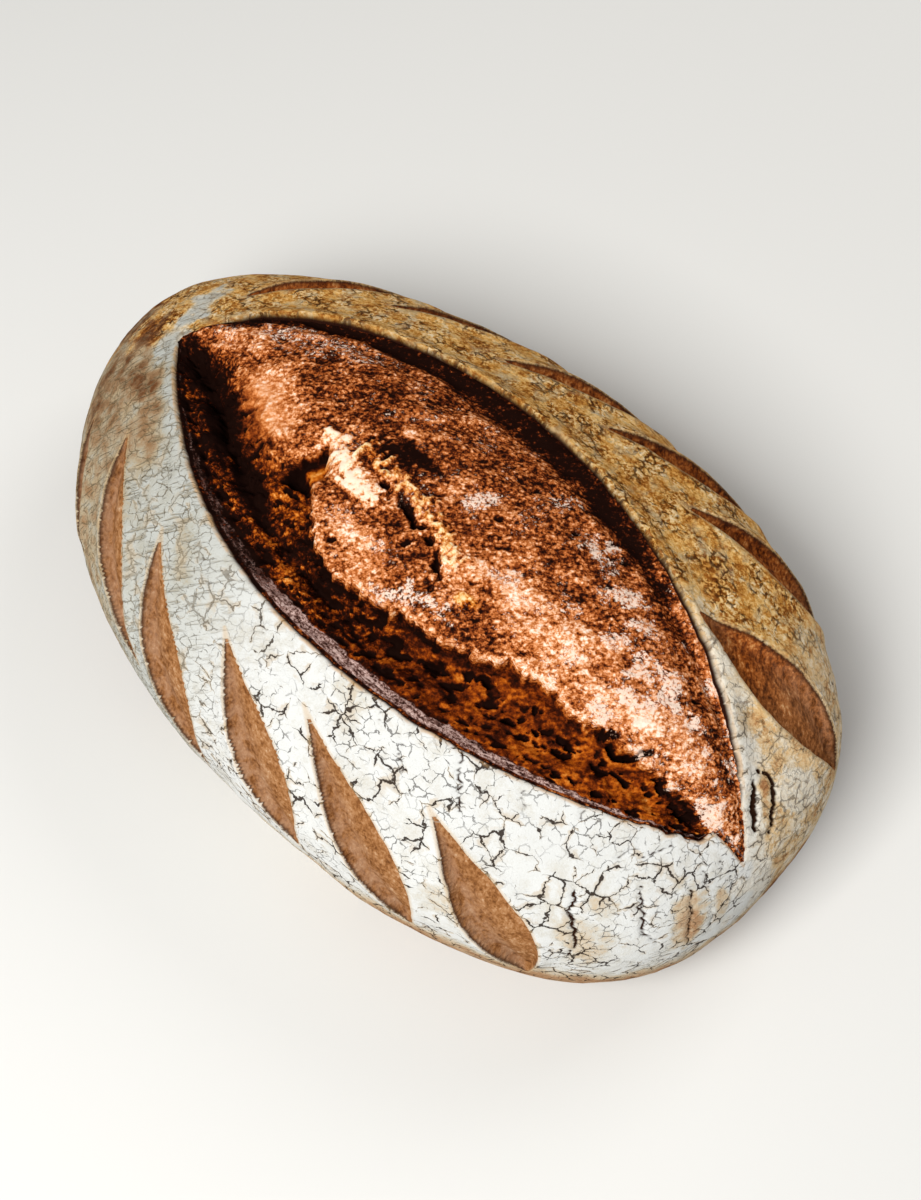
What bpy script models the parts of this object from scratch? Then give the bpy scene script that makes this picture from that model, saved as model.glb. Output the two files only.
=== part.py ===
"""An oval sourdough loaf, scored and baked: one long split on top and slashes down both flanks.

The loaf lies along X with its flat base on the floor at Z = 0. The split opens towards +Y.
Every place on the crust is first a place on a flat chart, which is the crust rolled out from
the top: u runs along the loaf, v runs across it, both in metres measured along the crust.
"""
import math

import bmesh
import bpy
from mathutils import Vector, kdtree, noise

# The loaf's plain body
HALF_LENGTH = 0.143
HALF_WIDTH = 0.0893
HEIGHT = 0.092
WIDEST_LEVEL = 0.037
PLAN_POWER = 2.17
DOME_POWER = 2.12
FLANK_POWER = 2.35
FLANK_DROP = 1.7 * WIDEST_LEVEL
PLAN_BULGES = ((3, -0.028, 0.005), (4, -0.001, -0.015), (5, -0.005, 0.007))
BODY_MIDDLE = Vector((0.00519, 0.00008, 0.0))

# The chart of the crust, from the top of the loaf down to its widest level
CHART_LENGTH = 0.163
CHART_WIDTH = 0.113

# The two lips of the split: ends on the chart, how far the lip bows out, and its skew
NEAR_LIP = ((-0.090, -0.005), (0.105, -0.016), -0.037, 0.85)
FAR_LIP = ((-0.090, -0.005), (0.127, -0.010), 0.045, 0.75)
CRUST_TOOTH = (0.107, -0.011)

# The split's cross-section: share of the way from the near lip (-1) to the far lip (1), height
SPLIT_SECTION = (
    (-1.00, 0.0005),
    (-0.93, -0.0030),
    (-0.86, -0.0048),
    (-0.74, -0.0085),
    (-0.58, -0.0068),
    (-0.42, -0.0050),
    (-0.30, 0.0022),
    (0.10, 0.0045),
    (0.55, 0.0034),
    (0.80, 0.0008),
    (0.89, -0.0018),
    (1.00, 0.0020),
)
SPLIT_FULL_HALF_WIDTH = 0.042
SPLIT_SHALLOWING = 0.6
NEAR_LIP_RISE = 0.0012
FAR_LIP_RISE = 0.0028
LIP_REACH = 0.008

# The torn dough's unevenness: how far its section wavers sideways, and the size of its crags
TEAR_SIZE = 0.011
TEAR_WAVER = 0.07
CRAG_SIZE = 0.0085
CRAG_HEIGHT = 0.0016
CRAG_EDGE_SHARE = 0.2

# The slashes: upper tip, lower tip, width, and the share of the length where it is widest
NEAR_SLASHES = (
    ((-0.110, -0.038), (-0.090, -0.082), 0.010, 0.50),
    ((-0.082, -0.036), (-0.048, -0.098), 0.014, 0.50),
    ((-0.049, -0.050), (-0.014, -0.122), 0.020, 0.58),
    ((-0.018, -0.059), (0.034, -0.115), 0.020, 0.58),
    ((0.010, -0.060), (0.082, -0.106), 0.018, 0.58),
    ((0.048, -0.057), (0.124, -0.090), 0.0185, 0.56),
)
FAR_SLASHES = (
    ((-0.089, 0.018), (-0.064, 0.086), 0.013, 0.50),
    ((-0.061, 0.046), (-0.020, 0.102), 0.014, 0.50),
    ((-0.026, 0.052), (0.024, 0.104), 0.016, 0.52),
    ((0.006, 0.054), (0.064, 0.098), 0.016, 0.55),
    ((0.034, 0.050), (0.106, 0.086), 0.016, 0.55),
    ((0.057, 0.025), (0.134, 0.042), 0.019, 0.48),
)
SLASH_SECTION = ((-1.0, -0.0010), (-0.6, -0.0027), (0.0, -0.0018), (0.7, -0.0019), (1.0, -0.0010))
SLASH_FULL_HALF_WIDTH = 0.004
SLASH_LIP_RISE = 0.0008
SLASH_LIP_REACH = 0.006
SLASH_TIP_SHARE = 0.2

# Broad unevenness of the baked skin, and the tilts between which all relief fades at the foot
SWELL_SIZE = 0.045
SWELL_HEIGHT = 0.0009
FOOT_START = 1.15
FOOT_END = 1.32

# The mesh: cells along and across, how much finer the top is than the rim, and the pull to a lip
CELLS_LONG = 84
CELLS_WIDE = 56
TOP_FINENESS = 0.82
SNAP_SHARE = 0.49
RELAX_ROUNDS = 3
FINE_STEP = 0.0005
SHARP_ANGLE = math.radians(50.0)

# The finish
CRUST_COLOUR = (0.46, 0.27, 0.13, 1.0)
CRUST_ROUGHNESS = 0.85


def smooth(share):
    """Ease a share from 0 to 1, held inside that range."""
    share = min(max(share, 0.0), 1.0)
    return share * share * (3.0 - 2.0 * share)


def along_section(section, share):
    """Height of a cross-section at a share of its width, eased between its points."""
    if share <= section[0][0]:
        return section[0][1]
    for (start, low), (end, high) in zip(section, section[1:]):
        if share <= end:
            return low + (high - low) * smooth((share - start) / (end - start))
    return section[-1][1]


def body_place(u, v):
    """Place on the plain body, without any split or slash, for a place on the chart."""
    turn = math.atan2(v / CHART_WIDTH, u / CHART_LENGTH)
    tilt = math.hypot(u / CHART_LENGTH, v / CHART_WIDTH) * math.pi / 2.0
    flat = math.sin(tilt)
    plan = (abs(math.cos(turn)) ** PLAN_POWER + abs(math.sin(turn)) ** PLAN_POWER) ** (1.0 / PLAN_POWER)
    upper = math.cos(tilt) >= 0.0
    power = DOME_POWER if upper else FLANK_POWER
    rise = HEIGHT - WIDEST_LEVEL if upper else FLANK_DROP
    gauge = ((flat * plan) ** power + abs(math.cos(tilt)) ** power) ** (1.0 / power)
    bulge = sum(c * math.cos(n * turn) + s * math.sin(n * turn) for n, c, s in PLAN_BULGES)
    bulge = 1.0 + bulge * math.sin(min(tilt, math.pi / 2.0)) ** 2
    x = HALF_LENGTH * flat * math.cos(turn) / gauge * bulge
    y = HALF_WIDTH * flat * math.sin(turn) / gauge * bulge
    return Vector((x, y, WIDEST_LEVEL + rise * math.cos(tilt) / gauge)) + BODY_MIDDLE


def body_normal(u, v):
    """Outward direction of the plain body at a place on the chart."""
    along = body_place(u + FINE_STEP, v) - body_place(u - FINE_STEP, v)
    across = body_place(u, v + FINE_STEP) - body_place(u, v - FINE_STEP)
    return along.cross(across).normalized()


def base_share(turn):
    """Tilt, as a share of the tilt at the widest level, where the flank meets the floor."""
    plan = (abs(math.cos(turn)) ** PLAN_POWER + abs(math.sin(turn)) ** PLAN_POWER) ** (1.0 / PLAN_POWER)
    drop = FLANK_DROP / WIDEST_LEVEL
    slope = (drop ** FLANK_POWER - 1.0) ** (1.0 / FLANK_POWER)
    return 2.0 - math.atan(slope / plan) / (math.pi / 2.0)


def chart_place(x, y):
    """Chart place of a grid point whose x and y run from -1 to 1: square on top, oval at the rim."""
    x, y = (c * (TOP_FINENESS + (1.0 - TOP_FINENESS) * c ** 4) for c in (x, y))
    reach = max(abs(x), abs(y))
    if reach == 0.0:
        return 0.0, 0.0
    rounding = (reach / math.hypot(x, y)) ** (reach * reach)
    share = base_share(math.atan2(y, x)) * rounding
    return CHART_LENGTH * share * x, CHART_WIDTH * share * y


def lip_across(lip, u):
    """Chart v of a lip of the split at a chart u."""
    start, end, bow, skew = lip
    share = min(max((u - start[0]) / (end[0] - start[0]), 0.0), 1.0)
    return start[1] + (end[1] - start[1]) * share + bow * math.sin(math.pi * share ** skew)


def near_across(u):
    """Chart v of the split's near side, which steps round the tooth of crust at the front."""
    if u < NEAR_LIP[1][0]:
        return lip_across(NEAR_LIP, u)
    share = (u - CRUST_TOOTH[0]) / (FAR_LIP[1][0] - CRUST_TOOTH[0])
    return CRUST_TOOTH[1] + (FAR_LIP[1][1] - CRUST_TOOTH[1]) * min(max(share, 0.0), 1.0)


def line(start, end):
    """Chart places along a straight line, a fine step apart."""
    count = max(2, round(math.dist(start, end) / FINE_STEP))
    return [tuple(a + (b - a) * i / count for a, b in zip(start, end)) for i in range(count)]


def split_outline():
    """Chart places round the split: the near lip, the tooth of crust, and the far lip."""
    outline = []
    for lip in (NEAR_LIP, FAR_LIP):
        outline += [(u, lip_across(lip, u)) for u, _ in line(lip[0], lip[1])]
    return outline + line(NEAR_LIP[1], CRUST_TOOTH) + line(CRUST_TOOTH, FAR_LIP[1])


def leaf(share, widest):
    """Half-width of a slash at a share of its length, as a share of its greatest half-width."""
    return math.sin(math.pi * share ** (math.log(0.5) / math.log(widest)))


def slash_outline(slash):
    """Chart places round one slash, a leaf with a tip at each end."""
    top, bottom, width, widest = slash
    side = Vector((bottom[1] - top[1], top[0] - bottom[0])).normalized()
    middle = line(top, bottom)
    outline = []
    for i, centre in enumerate(middle):
        half = leaf(i / len(middle), widest) * width / 2.0
        outline += [tuple(Vector(centre) + side * half), tuple(Vector(centre) - side * half)]
    return outline


def slash_height(slash, u, v, on_lip):
    """Height that one slash gives to a place: sunk inside its leaf, a low lip just outside."""
    top, bottom, width, widest = slash
    length = math.dist(top, bottom)
    direction = Vector((bottom[0] - top[0], bottom[1] - top[1])) / length
    offset = Vector((u - top[0], v - top[1]))
    share = offset.dot(direction) / length
    if not 0.0 < share < 1.0:
        return 0.0
    forward = Vector((-direction.y, direction.x)) * (1.0 if direction.y < 0.0 else -1.0)
    across = offset.dot(forward)
    half = leaf(share, widest) * width / 2.0
    if abs(across) < half and not on_lip:
        return along_section(SLASH_SECTION, across / half) * smooth(half / SLASH_FULL_HALF_WIDTH)
    beyond = max(abs(across) - half, 0.0)
    tips = smooth(share / SLASH_TIP_SHARE) * smooth((1.0 - share) / SLASH_TIP_SHARE)
    return SLASH_LIP_RISE * tips * smooth(1.0 - beyond / SLASH_LIP_REACH)


def split_height(u, v):
    """Height of the torn dough inside the split, with its crags."""
    near, far = near_across(u), lip_across(FAR_LIP, u)
    half = (far - near) / 2.0
    share = (v - near) / half - 1.0
    share += TEAR_WAVER * noise.noise(Vector((u, v, 0.0)) / TEAR_SIZE)
    fullness = min(half / SPLIT_FULL_HALF_WIDTH, 1.0) ** SPLIT_SHALLOWING
    crag = CRAG_HEIGHT * noise.fractal(Vector((u, v, 0.0)) / CRAG_SIZE, 1.0, 2.0, 2)
    crag *= smooth((1.0 - abs(share)) / CRAG_EDGE_SHARE)
    return (along_section(SPLIT_SECTION, share) + crag) * fullness


def skin_height(u, v, on_lip):
    """Height of the floured skin: raised lips at the split, slashes and a broad swell."""
    height = SWELL_HEIGHT * noise.noise(Vector((u, v, 0.5)) / SWELL_SIZE)
    near, far = near_across(u), lip_across(FAR_LIP, u)
    opening = smooth((far - near) / SPLIT_FULL_HALF_WIDTH)
    if v < (near + far) / 2.0:
        height += NEAR_LIP_RISE * opening * smooth(1.0 - (near - v) / LIP_REACH)
    else:
        height += FAR_LIP_RISE * opening * smooth(1.0 - (v - far) / LIP_REACH)
    return height + sum(slash_height(slash, u, v, on_lip) for slash in NEAR_SLASHES + FAR_SLASHES)


def relief(u, v, on_lip):
    """Height of the crust over the plain body, fading to nothing at the foot of the loaf."""
    inside = FAR_LIP[0][0] < u < FAR_LIP[1][0] and near_across(u) < v < lip_across(FAR_LIP, u)
    height = split_height(u, v) if inside and not on_lip else skin_height(u, v, on_lip)
    down = math.hypot(u / CHART_LENGTH, v / CHART_WIDTH)
    return height * smooth((FOOT_END - down) / (FOOT_END - FOOT_START))


def outline_tree():
    """Every lip and slash edge as one tree of chart places, for finding the nearest of them."""
    places = split_outline()
    for slash in NEAR_SLASHES + FAR_SLASHES:
        places += slash_outline(slash)
    tree = kdtree.KDTree(len(places))
    for index, (u, v) in enumerate(places):
        tree.insert((u, v, 0.0), index)
    tree.balance()
    return tree


def crust_mesh():
    """The whole loaf as one closed mesh: a grid drawn over the crust and a flat base."""
    bm = bmesh.new()
    bmesh.ops.create_grid(bm, x_segments=CELLS_LONG, y_segments=CELLS_WIDE, size=1.0)
    rim = [edge for edge in bm.edges if edge.is_boundary]
    for vert in bm.verts:
        vert.co.xy = chart_place(vert.co.x, vert.co.y)
    lips = outline_tree()
    on_lips = {}
    for vert in bm.verts:
        nearest, _, distance = lips.find(vert.co)
        if distance < SNAP_SHARE * min(edge.calc_length() for edge in vert.link_edges):
            on_lips[vert] = nearest
    for vert, place in on_lips.items():
        vert.co = place
    loose = [vert for vert in bm.verts if vert not in on_lips and not vert.is_boundary]
    for _ in range(RELAX_ROUNDS):
        bmesh.ops.smooth_vert(bm, verts=loose, factor=0.5, use_axis_x=True, use_axis_y=True)
    bmesh.ops.connect_verts(bm, verts=list(on_lips))
    for vert in bm.verts:
        u, v = vert.co.xy
        vert.co = body_place(u, v) + body_normal(u, v) * relief(u, v, vert in on_lips)
    for vert in {vert for edge in rim for vert in edge.verts}:
        vert.co.z = 0.0
    quads = [face for face in bm.faces if len(face.verts) > 3]
    bmesh.ops.triangulate(bm, faces=quads, quad_method="SHORT_EDGE")
    bmesh.ops.edgeloop_fill(bm, edges=rim)
    bmesh.ops.recalc_face_normals(bm, faces=bm.faces)
    mesh = bpy.data.meshes.new("loaf")
    bm.to_mesh(mesh)
    bm.free()
    return mesh


def crust_material():
    """Baked crust: brown, dull and dry."""
    material = bpy.data.materials.new("baked crust")
    material.use_nodes = True
    shader = material.node_tree.nodes["Principled BSDF"]
    shader.inputs["Base Color"].default_value = CRUST_COLOUR
    shader.inputs["Roughness"].default_value = CRUST_ROUGHNESS
    shader.inputs["Metallic"].default_value = 0.0
    return material


def clear_scene():
    """Start from an empty scene."""
    for thing in list(bpy.data.objects):
        bpy.data.objects.remove(thing, do_unlink=True)


def make_loaf():
    """Place the finished loaf in the scene."""
    mesh = crust_mesh()
    mesh.materials.append(crust_material())
    mesh.shade_smooth()
    mesh.set_sharp_from_angle(angle=SHARP_ANGLE)
    bpy.context.collection.objects.link(bpy.data.objects.new("loaf", mesh))


clear_scene()
make_loaf()
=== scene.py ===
# %% [markdown]
# # A sourdough loaf
#
# This lesson dresses one baked loaf: an oval, hand-shaped bread with white rice flour on its skin,
# a long split along its top and a row of leaf-shaped slashes down each flank. The plain solid comes
# from the frame. The lesson gives it a fine floured skin, the torn dough inside the split, and a
# finish for each. Lengths are in metres, except in the tables whose comments say millimetres and in
# the patterns of the finishes, which are in millimetres too.

# %% Load the frame
import math

import bmesh
import bpy
import numpy as np
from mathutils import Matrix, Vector, kdtree, noise


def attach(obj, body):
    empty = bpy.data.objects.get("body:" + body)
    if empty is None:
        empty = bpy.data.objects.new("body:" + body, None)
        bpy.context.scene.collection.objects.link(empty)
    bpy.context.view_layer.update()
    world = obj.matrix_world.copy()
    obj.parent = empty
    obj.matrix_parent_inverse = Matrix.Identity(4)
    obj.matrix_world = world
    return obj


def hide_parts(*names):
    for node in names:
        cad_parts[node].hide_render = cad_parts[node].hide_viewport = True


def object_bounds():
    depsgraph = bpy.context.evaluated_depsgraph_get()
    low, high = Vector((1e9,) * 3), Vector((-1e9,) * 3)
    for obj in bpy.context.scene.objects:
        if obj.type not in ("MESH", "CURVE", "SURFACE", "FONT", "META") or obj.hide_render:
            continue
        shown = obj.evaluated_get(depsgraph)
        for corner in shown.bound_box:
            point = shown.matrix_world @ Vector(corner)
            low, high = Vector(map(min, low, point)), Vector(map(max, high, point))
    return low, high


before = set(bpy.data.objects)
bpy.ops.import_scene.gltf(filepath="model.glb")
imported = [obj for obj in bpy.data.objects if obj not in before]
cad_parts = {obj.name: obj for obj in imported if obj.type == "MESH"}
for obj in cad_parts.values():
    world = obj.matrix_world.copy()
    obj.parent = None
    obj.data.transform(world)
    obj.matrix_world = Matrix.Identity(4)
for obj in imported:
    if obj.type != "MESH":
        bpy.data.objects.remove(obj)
CAD_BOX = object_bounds()
print("the plain loaf measures", [round(c, 4) for c in CAD_BOX[1] - CAD_BOX[0]])

# %% [markdown]
# ## The body
#
# A proved loaf is a soft egg: rounder at one end, flat below. Sculpting one by hand would do, but a
# formula keeps it exactly on the plain solid. Each place on the crust is first a place on a flat
# chart, the crust rolled out from the top: `u` runs along the loaf and `v` across it. The body's
# formula is a superellipse, a circle with a power other than 2, turned into an egg by three waves.

# %% Body sizes
HALF_LENGTH = 0.143
HALF_WIDTH = 0.0893
HEIGHT = 0.092
WIDEST_LEVEL = 0.037
PLAN_POWER = 2.17
DOME_POWER = 2.12
FLANK_POWER = 2.35
FLANK_DROP = 1.7 * WIDEST_LEVEL
PLAN_BULGES = ((3, -0.028, 0.005), (4, -0.001, -0.015), (5, -0.005, 0.007))
BODY_MIDDLE = np.array((0.00519, 0.00008, 0.0))
CHART_LENGTH = 0.163
CHART_WIDTH = 0.113
FINE_STEP = 0.0005


def plan_gauge(turn):
    """How much fuller than an ellipse the loaf's plan is, in each direction."""
    return (np.abs(np.cos(turn)) ** PLAN_POWER + np.abs(np.sin(turn)) ** PLAN_POWER) ** (1 / PLAN_POWER)


def body_places(u, v):
    """Places on the plain body for places on the chart."""
    turn = np.arctan2(v / CHART_WIDTH, u / CHART_LENGTH)
    tilt = np.hypot(u / CHART_LENGTH, v / CHART_WIDTH) * np.pi / 2
    upper = np.cos(tilt) >= 0
    power = np.where(upper, DOME_POWER, FLANK_POWER)
    rise = np.where(upper, HEIGHT - WIDEST_LEVEL, FLANK_DROP)
    gauge = ((np.sin(tilt) * plan_gauge(turn)) ** power + np.abs(np.cos(tilt)) ** power) ** (1 / power)
    waves = sum(c * np.cos(n * turn) + s * np.sin(n * turn) for n, c, s in PLAN_BULGES)
    reach = np.sin(tilt) / gauge * (1 + waves * np.sin(np.minimum(tilt, np.pi / 2)) ** 2)
    x = HALF_LENGTH * np.cos(turn) * reach
    y = HALF_WIDTH * np.sin(turn) * reach
    return np.stack([x, y, WIDEST_LEVEL + rise * np.cos(tilt) / gauge], axis=1) + BODY_MIDDLE


def body_normals(u, v):
    """Outward directions of the plain body for places on the chart."""
    along = body_places(u + FINE_STEP, v) - body_places(u - FINE_STEP, v)
    across = body_places(u, v + FINE_STEP) - body_places(u, v - FINE_STEP)
    normals = np.cross(along, across)
    return normals / np.linalg.norm(normals, axis=1)[:, None]


print("top of the body at", body_places(np.zeros(1), np.zeros(1))[0].round(4))

# %% [markdown]
# ## Easing and unevenness
#
# Dough has no straight ramps, so heights ease from one value to the next. Nothing on it repeats
# either: Blender's noise, read at fixed places, gives unevenness that is the same in each run.

# %% Easing and noise


def eased(share):
    """Ease shares from 0 to 1, held inside that range."""
    share = np.clip(share, 0.0, 1.0)
    return share * share * (3 - 2 * share)


def section_height(section, share):
    """Heights of a cross-section at shares of its width, eased between its points."""
    height = np.full_like(share, section[0][1])
    for (start, low), (end, high) in zip(section, section[1:]):
        between = low + (high - low) * eased((share - start) / (end - start))
        height = np.where(share > start, between, height)
    return height


def uneven(u, v, size, level=0.0, octaves=1, stretch=1.0, angle=0.0):
    """Noise from about -1 to 1 over the chart, with lumps of one size, longer along an angle."""
    along = (u * math.cos(angle) + v * math.sin(angle)) / (size * stretch)
    across = (v * math.cos(angle) - u * math.sin(angle)) / size
    places = (Vector((a, b, level)) for a, b in zip(along, across))
    return np.array([noise.fractal(place, 1.0, 2.0, octaves) for place in places])


def rough(u, v, height, size, level, octaves=1):
    """Unevenness of a height, from the size of its lumps, the level it is read at and its octaves."""
    return height * uneven(u, v, size, level, octaves=octaves)


print("noise at one place:", uneven(np.array([0.013]), np.array([0.021]), 0.01).round(3))

# %% [markdown]
# ## The split
#
# The baker cuts the loaf once along its length, a little to one side, and it opens in the oven. The
# near lip stays low. The far lip lifts into a thin ear. Both are bowed lines between two tips, and
# both are ragged, so each is worked out once at fine steps and read between them.

# %% The lips of the split
NEAR_LIP = ((-0.090, -0.005), (0.105, -0.016), -0.037, 0.85)
FAR_LIP = ((-0.090, -0.005), (0.127, -0.010), 0.045, 0.75)
CRUST_TOOTH = (0.107, -0.011)
TOOTH_POINTS = 60
LIP_RAGS = ((0.0070, 0.0006), (0.0022, 0.00028))
LIP_TIP_EASE = 12
FRONT_RAG = 0.0011
FRONT_RAG_SIZE = 0.0030
FRONT_RAG_START = 0.080
FRONT_RAG_RUN = 0.01
FRONT_TIP_EASE = 30


def lip_line(lip, level):
    """Chart places along a lip, as arrays of u and v, with its rags."""
    start, end, bow, skew = lip
    u = np.arange(start[0], end[0], FINE_STEP / 2)
    share = (u - start[0]) / (end[0] - start[0])
    v = start[1] + (end[1] - start[1]) * share + bow * np.sin(np.pi * share ** skew)
    row = np.zeros_like(u)
    for size, height in LIP_RAGS:
        rag = rough(u, row, height, size, level)
        v += rag * eased(share * LIP_TIP_EASE) * eased((1 - share) * LIP_TIP_EASE)
    rag = rough(u, row, FRONT_RAG, FRONT_RAG_SIZE, level + 5, 3)
    v += rag * eased((u - FRONT_RAG_START) / FRONT_RAG_RUN) * eased((1 - share) * FRONT_TIP_EASE)
    return u, v


NEAR_LINE = lip_line(NEAR_LIP, 3.0)
FAR_LINE = lip_line(FAR_LIP, 7.0)


def lips_across(u):
    """Chart v of the split's near and far side at each u: past the near tip a tooth of crust."""
    near = np.interp(u, *NEAR_LINE)
    tooth = np.interp(u, (CRUST_TOOTH[0], FAR_LIP[1][0]), (CRUST_TOOTH[1], FAR_LIP[1][1]))
    return np.where(u < NEAR_LIP[1][0], near, tooth), np.interp(u, *FAR_LINE)


print("across the loaf's middle the lips lie at", [line.round(4) for line in lips_across(np.zeros(1))])

# %% [markdown]
# ## Distances from the lips
#
# Much depends on how far a place is from the split's edge. Measuring against every point of the
# edge would be slow, so the points go into a search tree, which finds the nearest one at once.

# %% Distances from the lips


def tree_of(lines):
    """A search tree of all points on some chart lines."""
    places = [place for u, v in lines for place in zip(u, v)]
    tree = kdtree.KDTree(len(places))
    for index, (u, v) in enumerate(places):
        tree.insert((u, v, 0.0), index)
    tree.balance()
    return tree


TOOTH_LINES = [
    tuple(np.linspace(a, b, TOOTH_POINTS) for a, b in zip(start, end))
    for start, end in ((NEAR_LIP[1], CRUST_TOOTH), (CRUST_TOOTH, FAR_LIP[1]))
]
SPLIT_TREE = tree_of([NEAR_LINE, FAR_LINE, *TOOTH_LINES])


def nearest_on(tree, u, v):
    """Nearest point of a tree to each chart place, and how far it is."""
    found = [tree.find((a, b, 0.0)) for a, b in zip(u, v)]
    places = np.array([place[:2] for place, _, _ in found])
    return places[:, 0], places[:, 1], np.array([distance for _, _, distance in found])


def inside_split(u, v):
    """Whether each chart place lies inside the split."""
    near, far = lips_across(u)
    return (u > FAR_LIP[0][0]) & (u < FAR_LIP[1][0]) & (v > near) & (v < far)


print("the split is", round((FAR_LIP[1][0] - FAR_LIP[0][0]) * 1000), "mm long on the chart")

# %% [markdown]
# ## The slashes
#
# After the long cut come short ones with a wet blade, like leaves on a branch. Each opens into a
# leaf: pointed at both ends, its floor a little sunk, with a sharper step on its back edge.

# %% Slash leaves
NEAR_SLASHES = (
    ((-0.110, -0.038), (-0.090, -0.082), 0.010, 0.50),
    ((-0.082, -0.036), (-0.048, -0.098), 0.014, 0.50),
    ((-0.049, -0.050), (-0.014, -0.122), 0.020, 0.58),
    ((-0.018, -0.059), (0.034, -0.115), 0.020, 0.58),
    ((0.010, -0.060), (0.082, -0.106), 0.018, 0.58),
    ((0.048, -0.057), (0.124, -0.090), 0.0185, 0.56),
)
FAR_SLASHES = (
    ((-0.089, 0.018), (-0.064, 0.086), 0.013, 0.50),
    ((-0.061, 0.046), (-0.020, 0.102), 0.014, 0.50),
    ((-0.026, 0.052), (0.024, 0.104), 0.016, 0.52),
    ((0.006, 0.054), (0.064, 0.098), 0.016, 0.55),
    ((0.034, 0.050), (0.106, 0.086), 0.016, 0.55),
    ((0.057, 0.025), (0.134, 0.042), 0.019, 0.48),
)
SLASHES = NEAR_SLASHES + FAR_SLASHES
SLASH_SECTION = ((-1.0, -0.0010), (-0.6, -0.0027), (0.0, -0.0018), (0.7, -0.0019), (1.0, -0.0010))
SLASH_FULL_HALF_WIDTH = 0.004
SLASH_LIP_RISE = 0.0011
SLASH_LIP_REACH = 0.006
SLASH_TIP_SHARE = 0.2
SLASH_STEP = 0.0008
SLASH_RAG_SIZE = 0.005
SLASH_RAG = 0.00035
SLASH_LEVEL_STEP = 3.7
SLASH_PAST_TIPS = 0.3
SLASH_ASIDE = 0.03


def leaf(share, widest):
    """Half-widths of a slash along its length, as shares of its greatest half-width."""
    return np.sin(np.pi * np.clip(share, 0, 1) ** (math.log(0.5) / math.log(widest)))


def slash_half(index, share, side):
    """Ragged half-widths of one slash at shares of its length, on one side of its middle line."""
    top, bottom, width, widest = SLASHES[index]
    half = leaf(share, widest) * width / 2
    rag = uneven(share * math.dist(top, bottom), side * 0.02, SLASH_RAG_SIZE, index * SLASH_LEVEL_STEP)
    return half + SLASH_RAG * rag * eased(half / SLASH_FULL_HALF_WIDTH)


def slash_frame(slash, u, v):
    """Length share and distance from the middle line of a slash, towards the loaf's front."""
    top, bottom, _, _ = slash
    length = math.dist(top, bottom)
    du, dv = (bottom[0] - top[0]) / length, (bottom[1] - top[1]) / length
    side = 1.0 if dv < 0 else -1.0
    share = ((u - top[0]) * du + (v - top[1]) * dv) / length
    across = side * ((u - top[0]) * -dv + (v - top[1]) * du)
    return share, across, length


print("the longest slash is", round(max(math.dist(*slash[:2]) for slash in SLASHES) * 1000), "mm long")

# %% [markdown]
# ## Relief of the slashes
#
# Every place near a slash gets three numbers: how deep inside the leaf it is, where across it, and
# how far it sinks. The skin around a leaf is lifted a little, as a real cut curls up at its rim.

# %% Slash relief


def slash_fields(u, v):
    """Depth inside the nearest slash (less than 0 outside), place across it, and its height."""
    inset = np.full_like(u, -1.0)
    place = np.zeros_like(u)
    height = np.zeros_like(u)
    for index, slash in enumerate(SLASHES):
        share, across, length = slash_frame(slash, u, v)
        near = (share > -SLASH_PAST_TIPS) & (share < 1 + SLASH_PAST_TIPS) & (np.abs(across) < SLASH_ASIDE)
        share, across = share[near], across[near]
        half = slash_half(index, share, np.sign(across))
        past = np.maximum(np.maximum(-share, share - 1), 0) * length
        depth = half - np.abs(across) - past
        sunk = section_height(SLASH_SECTION, across / np.maximum(half, 1e-6))
        sunk = sunk * eased(half / SLASH_FULL_HALF_WIDTH) * eased(depth / SLASH_STEP)
        tips = eased(share / SLASH_TIP_SHARE) * eased((1 - share) / SLASH_TIP_SHARE)
        lip = SLASH_LIP_RISE * tips * eased(1 + depth / SLASH_LIP_REACH)
        height[near] += np.where(depth > 0, sunk + lip * eased(1 - depth / SLASH_STEP), lip)
        closer = depth > inset[near]
        place[near] = np.where(closer, across / np.maximum(half, 0.001), place[near])
        inset[near] = np.maximum(inset[near], depth)
    return inset, place, height


def slash_lines():
    """The two edges of every slash as chart lines."""
    lines = []
    for index, (top, bottom, _, _) in enumerate(SLASHES):
        length = math.dist(top, bottom)
        share = np.linspace(0, 1, round(length / FINE_STEP) * 2)
        du, dv = (bottom[0] - top[0]) / length, (bottom[1] - top[1]) / length
        turn = 1.0 if dv < 0 else -1.0
        for side in (-1.0, 1.0):
            half = side * turn * slash_half(index, share, np.full_like(share, side))
            edge_u = top[0] + du * length * share - dv * half
            edge_v = top[1] + dv * length * share + du * half
            lines.append((edge_u, edge_v))
    return lines


SLASH_TREE = tree_of(slash_lines())
print(len(SLASHES), "slashes")
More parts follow.
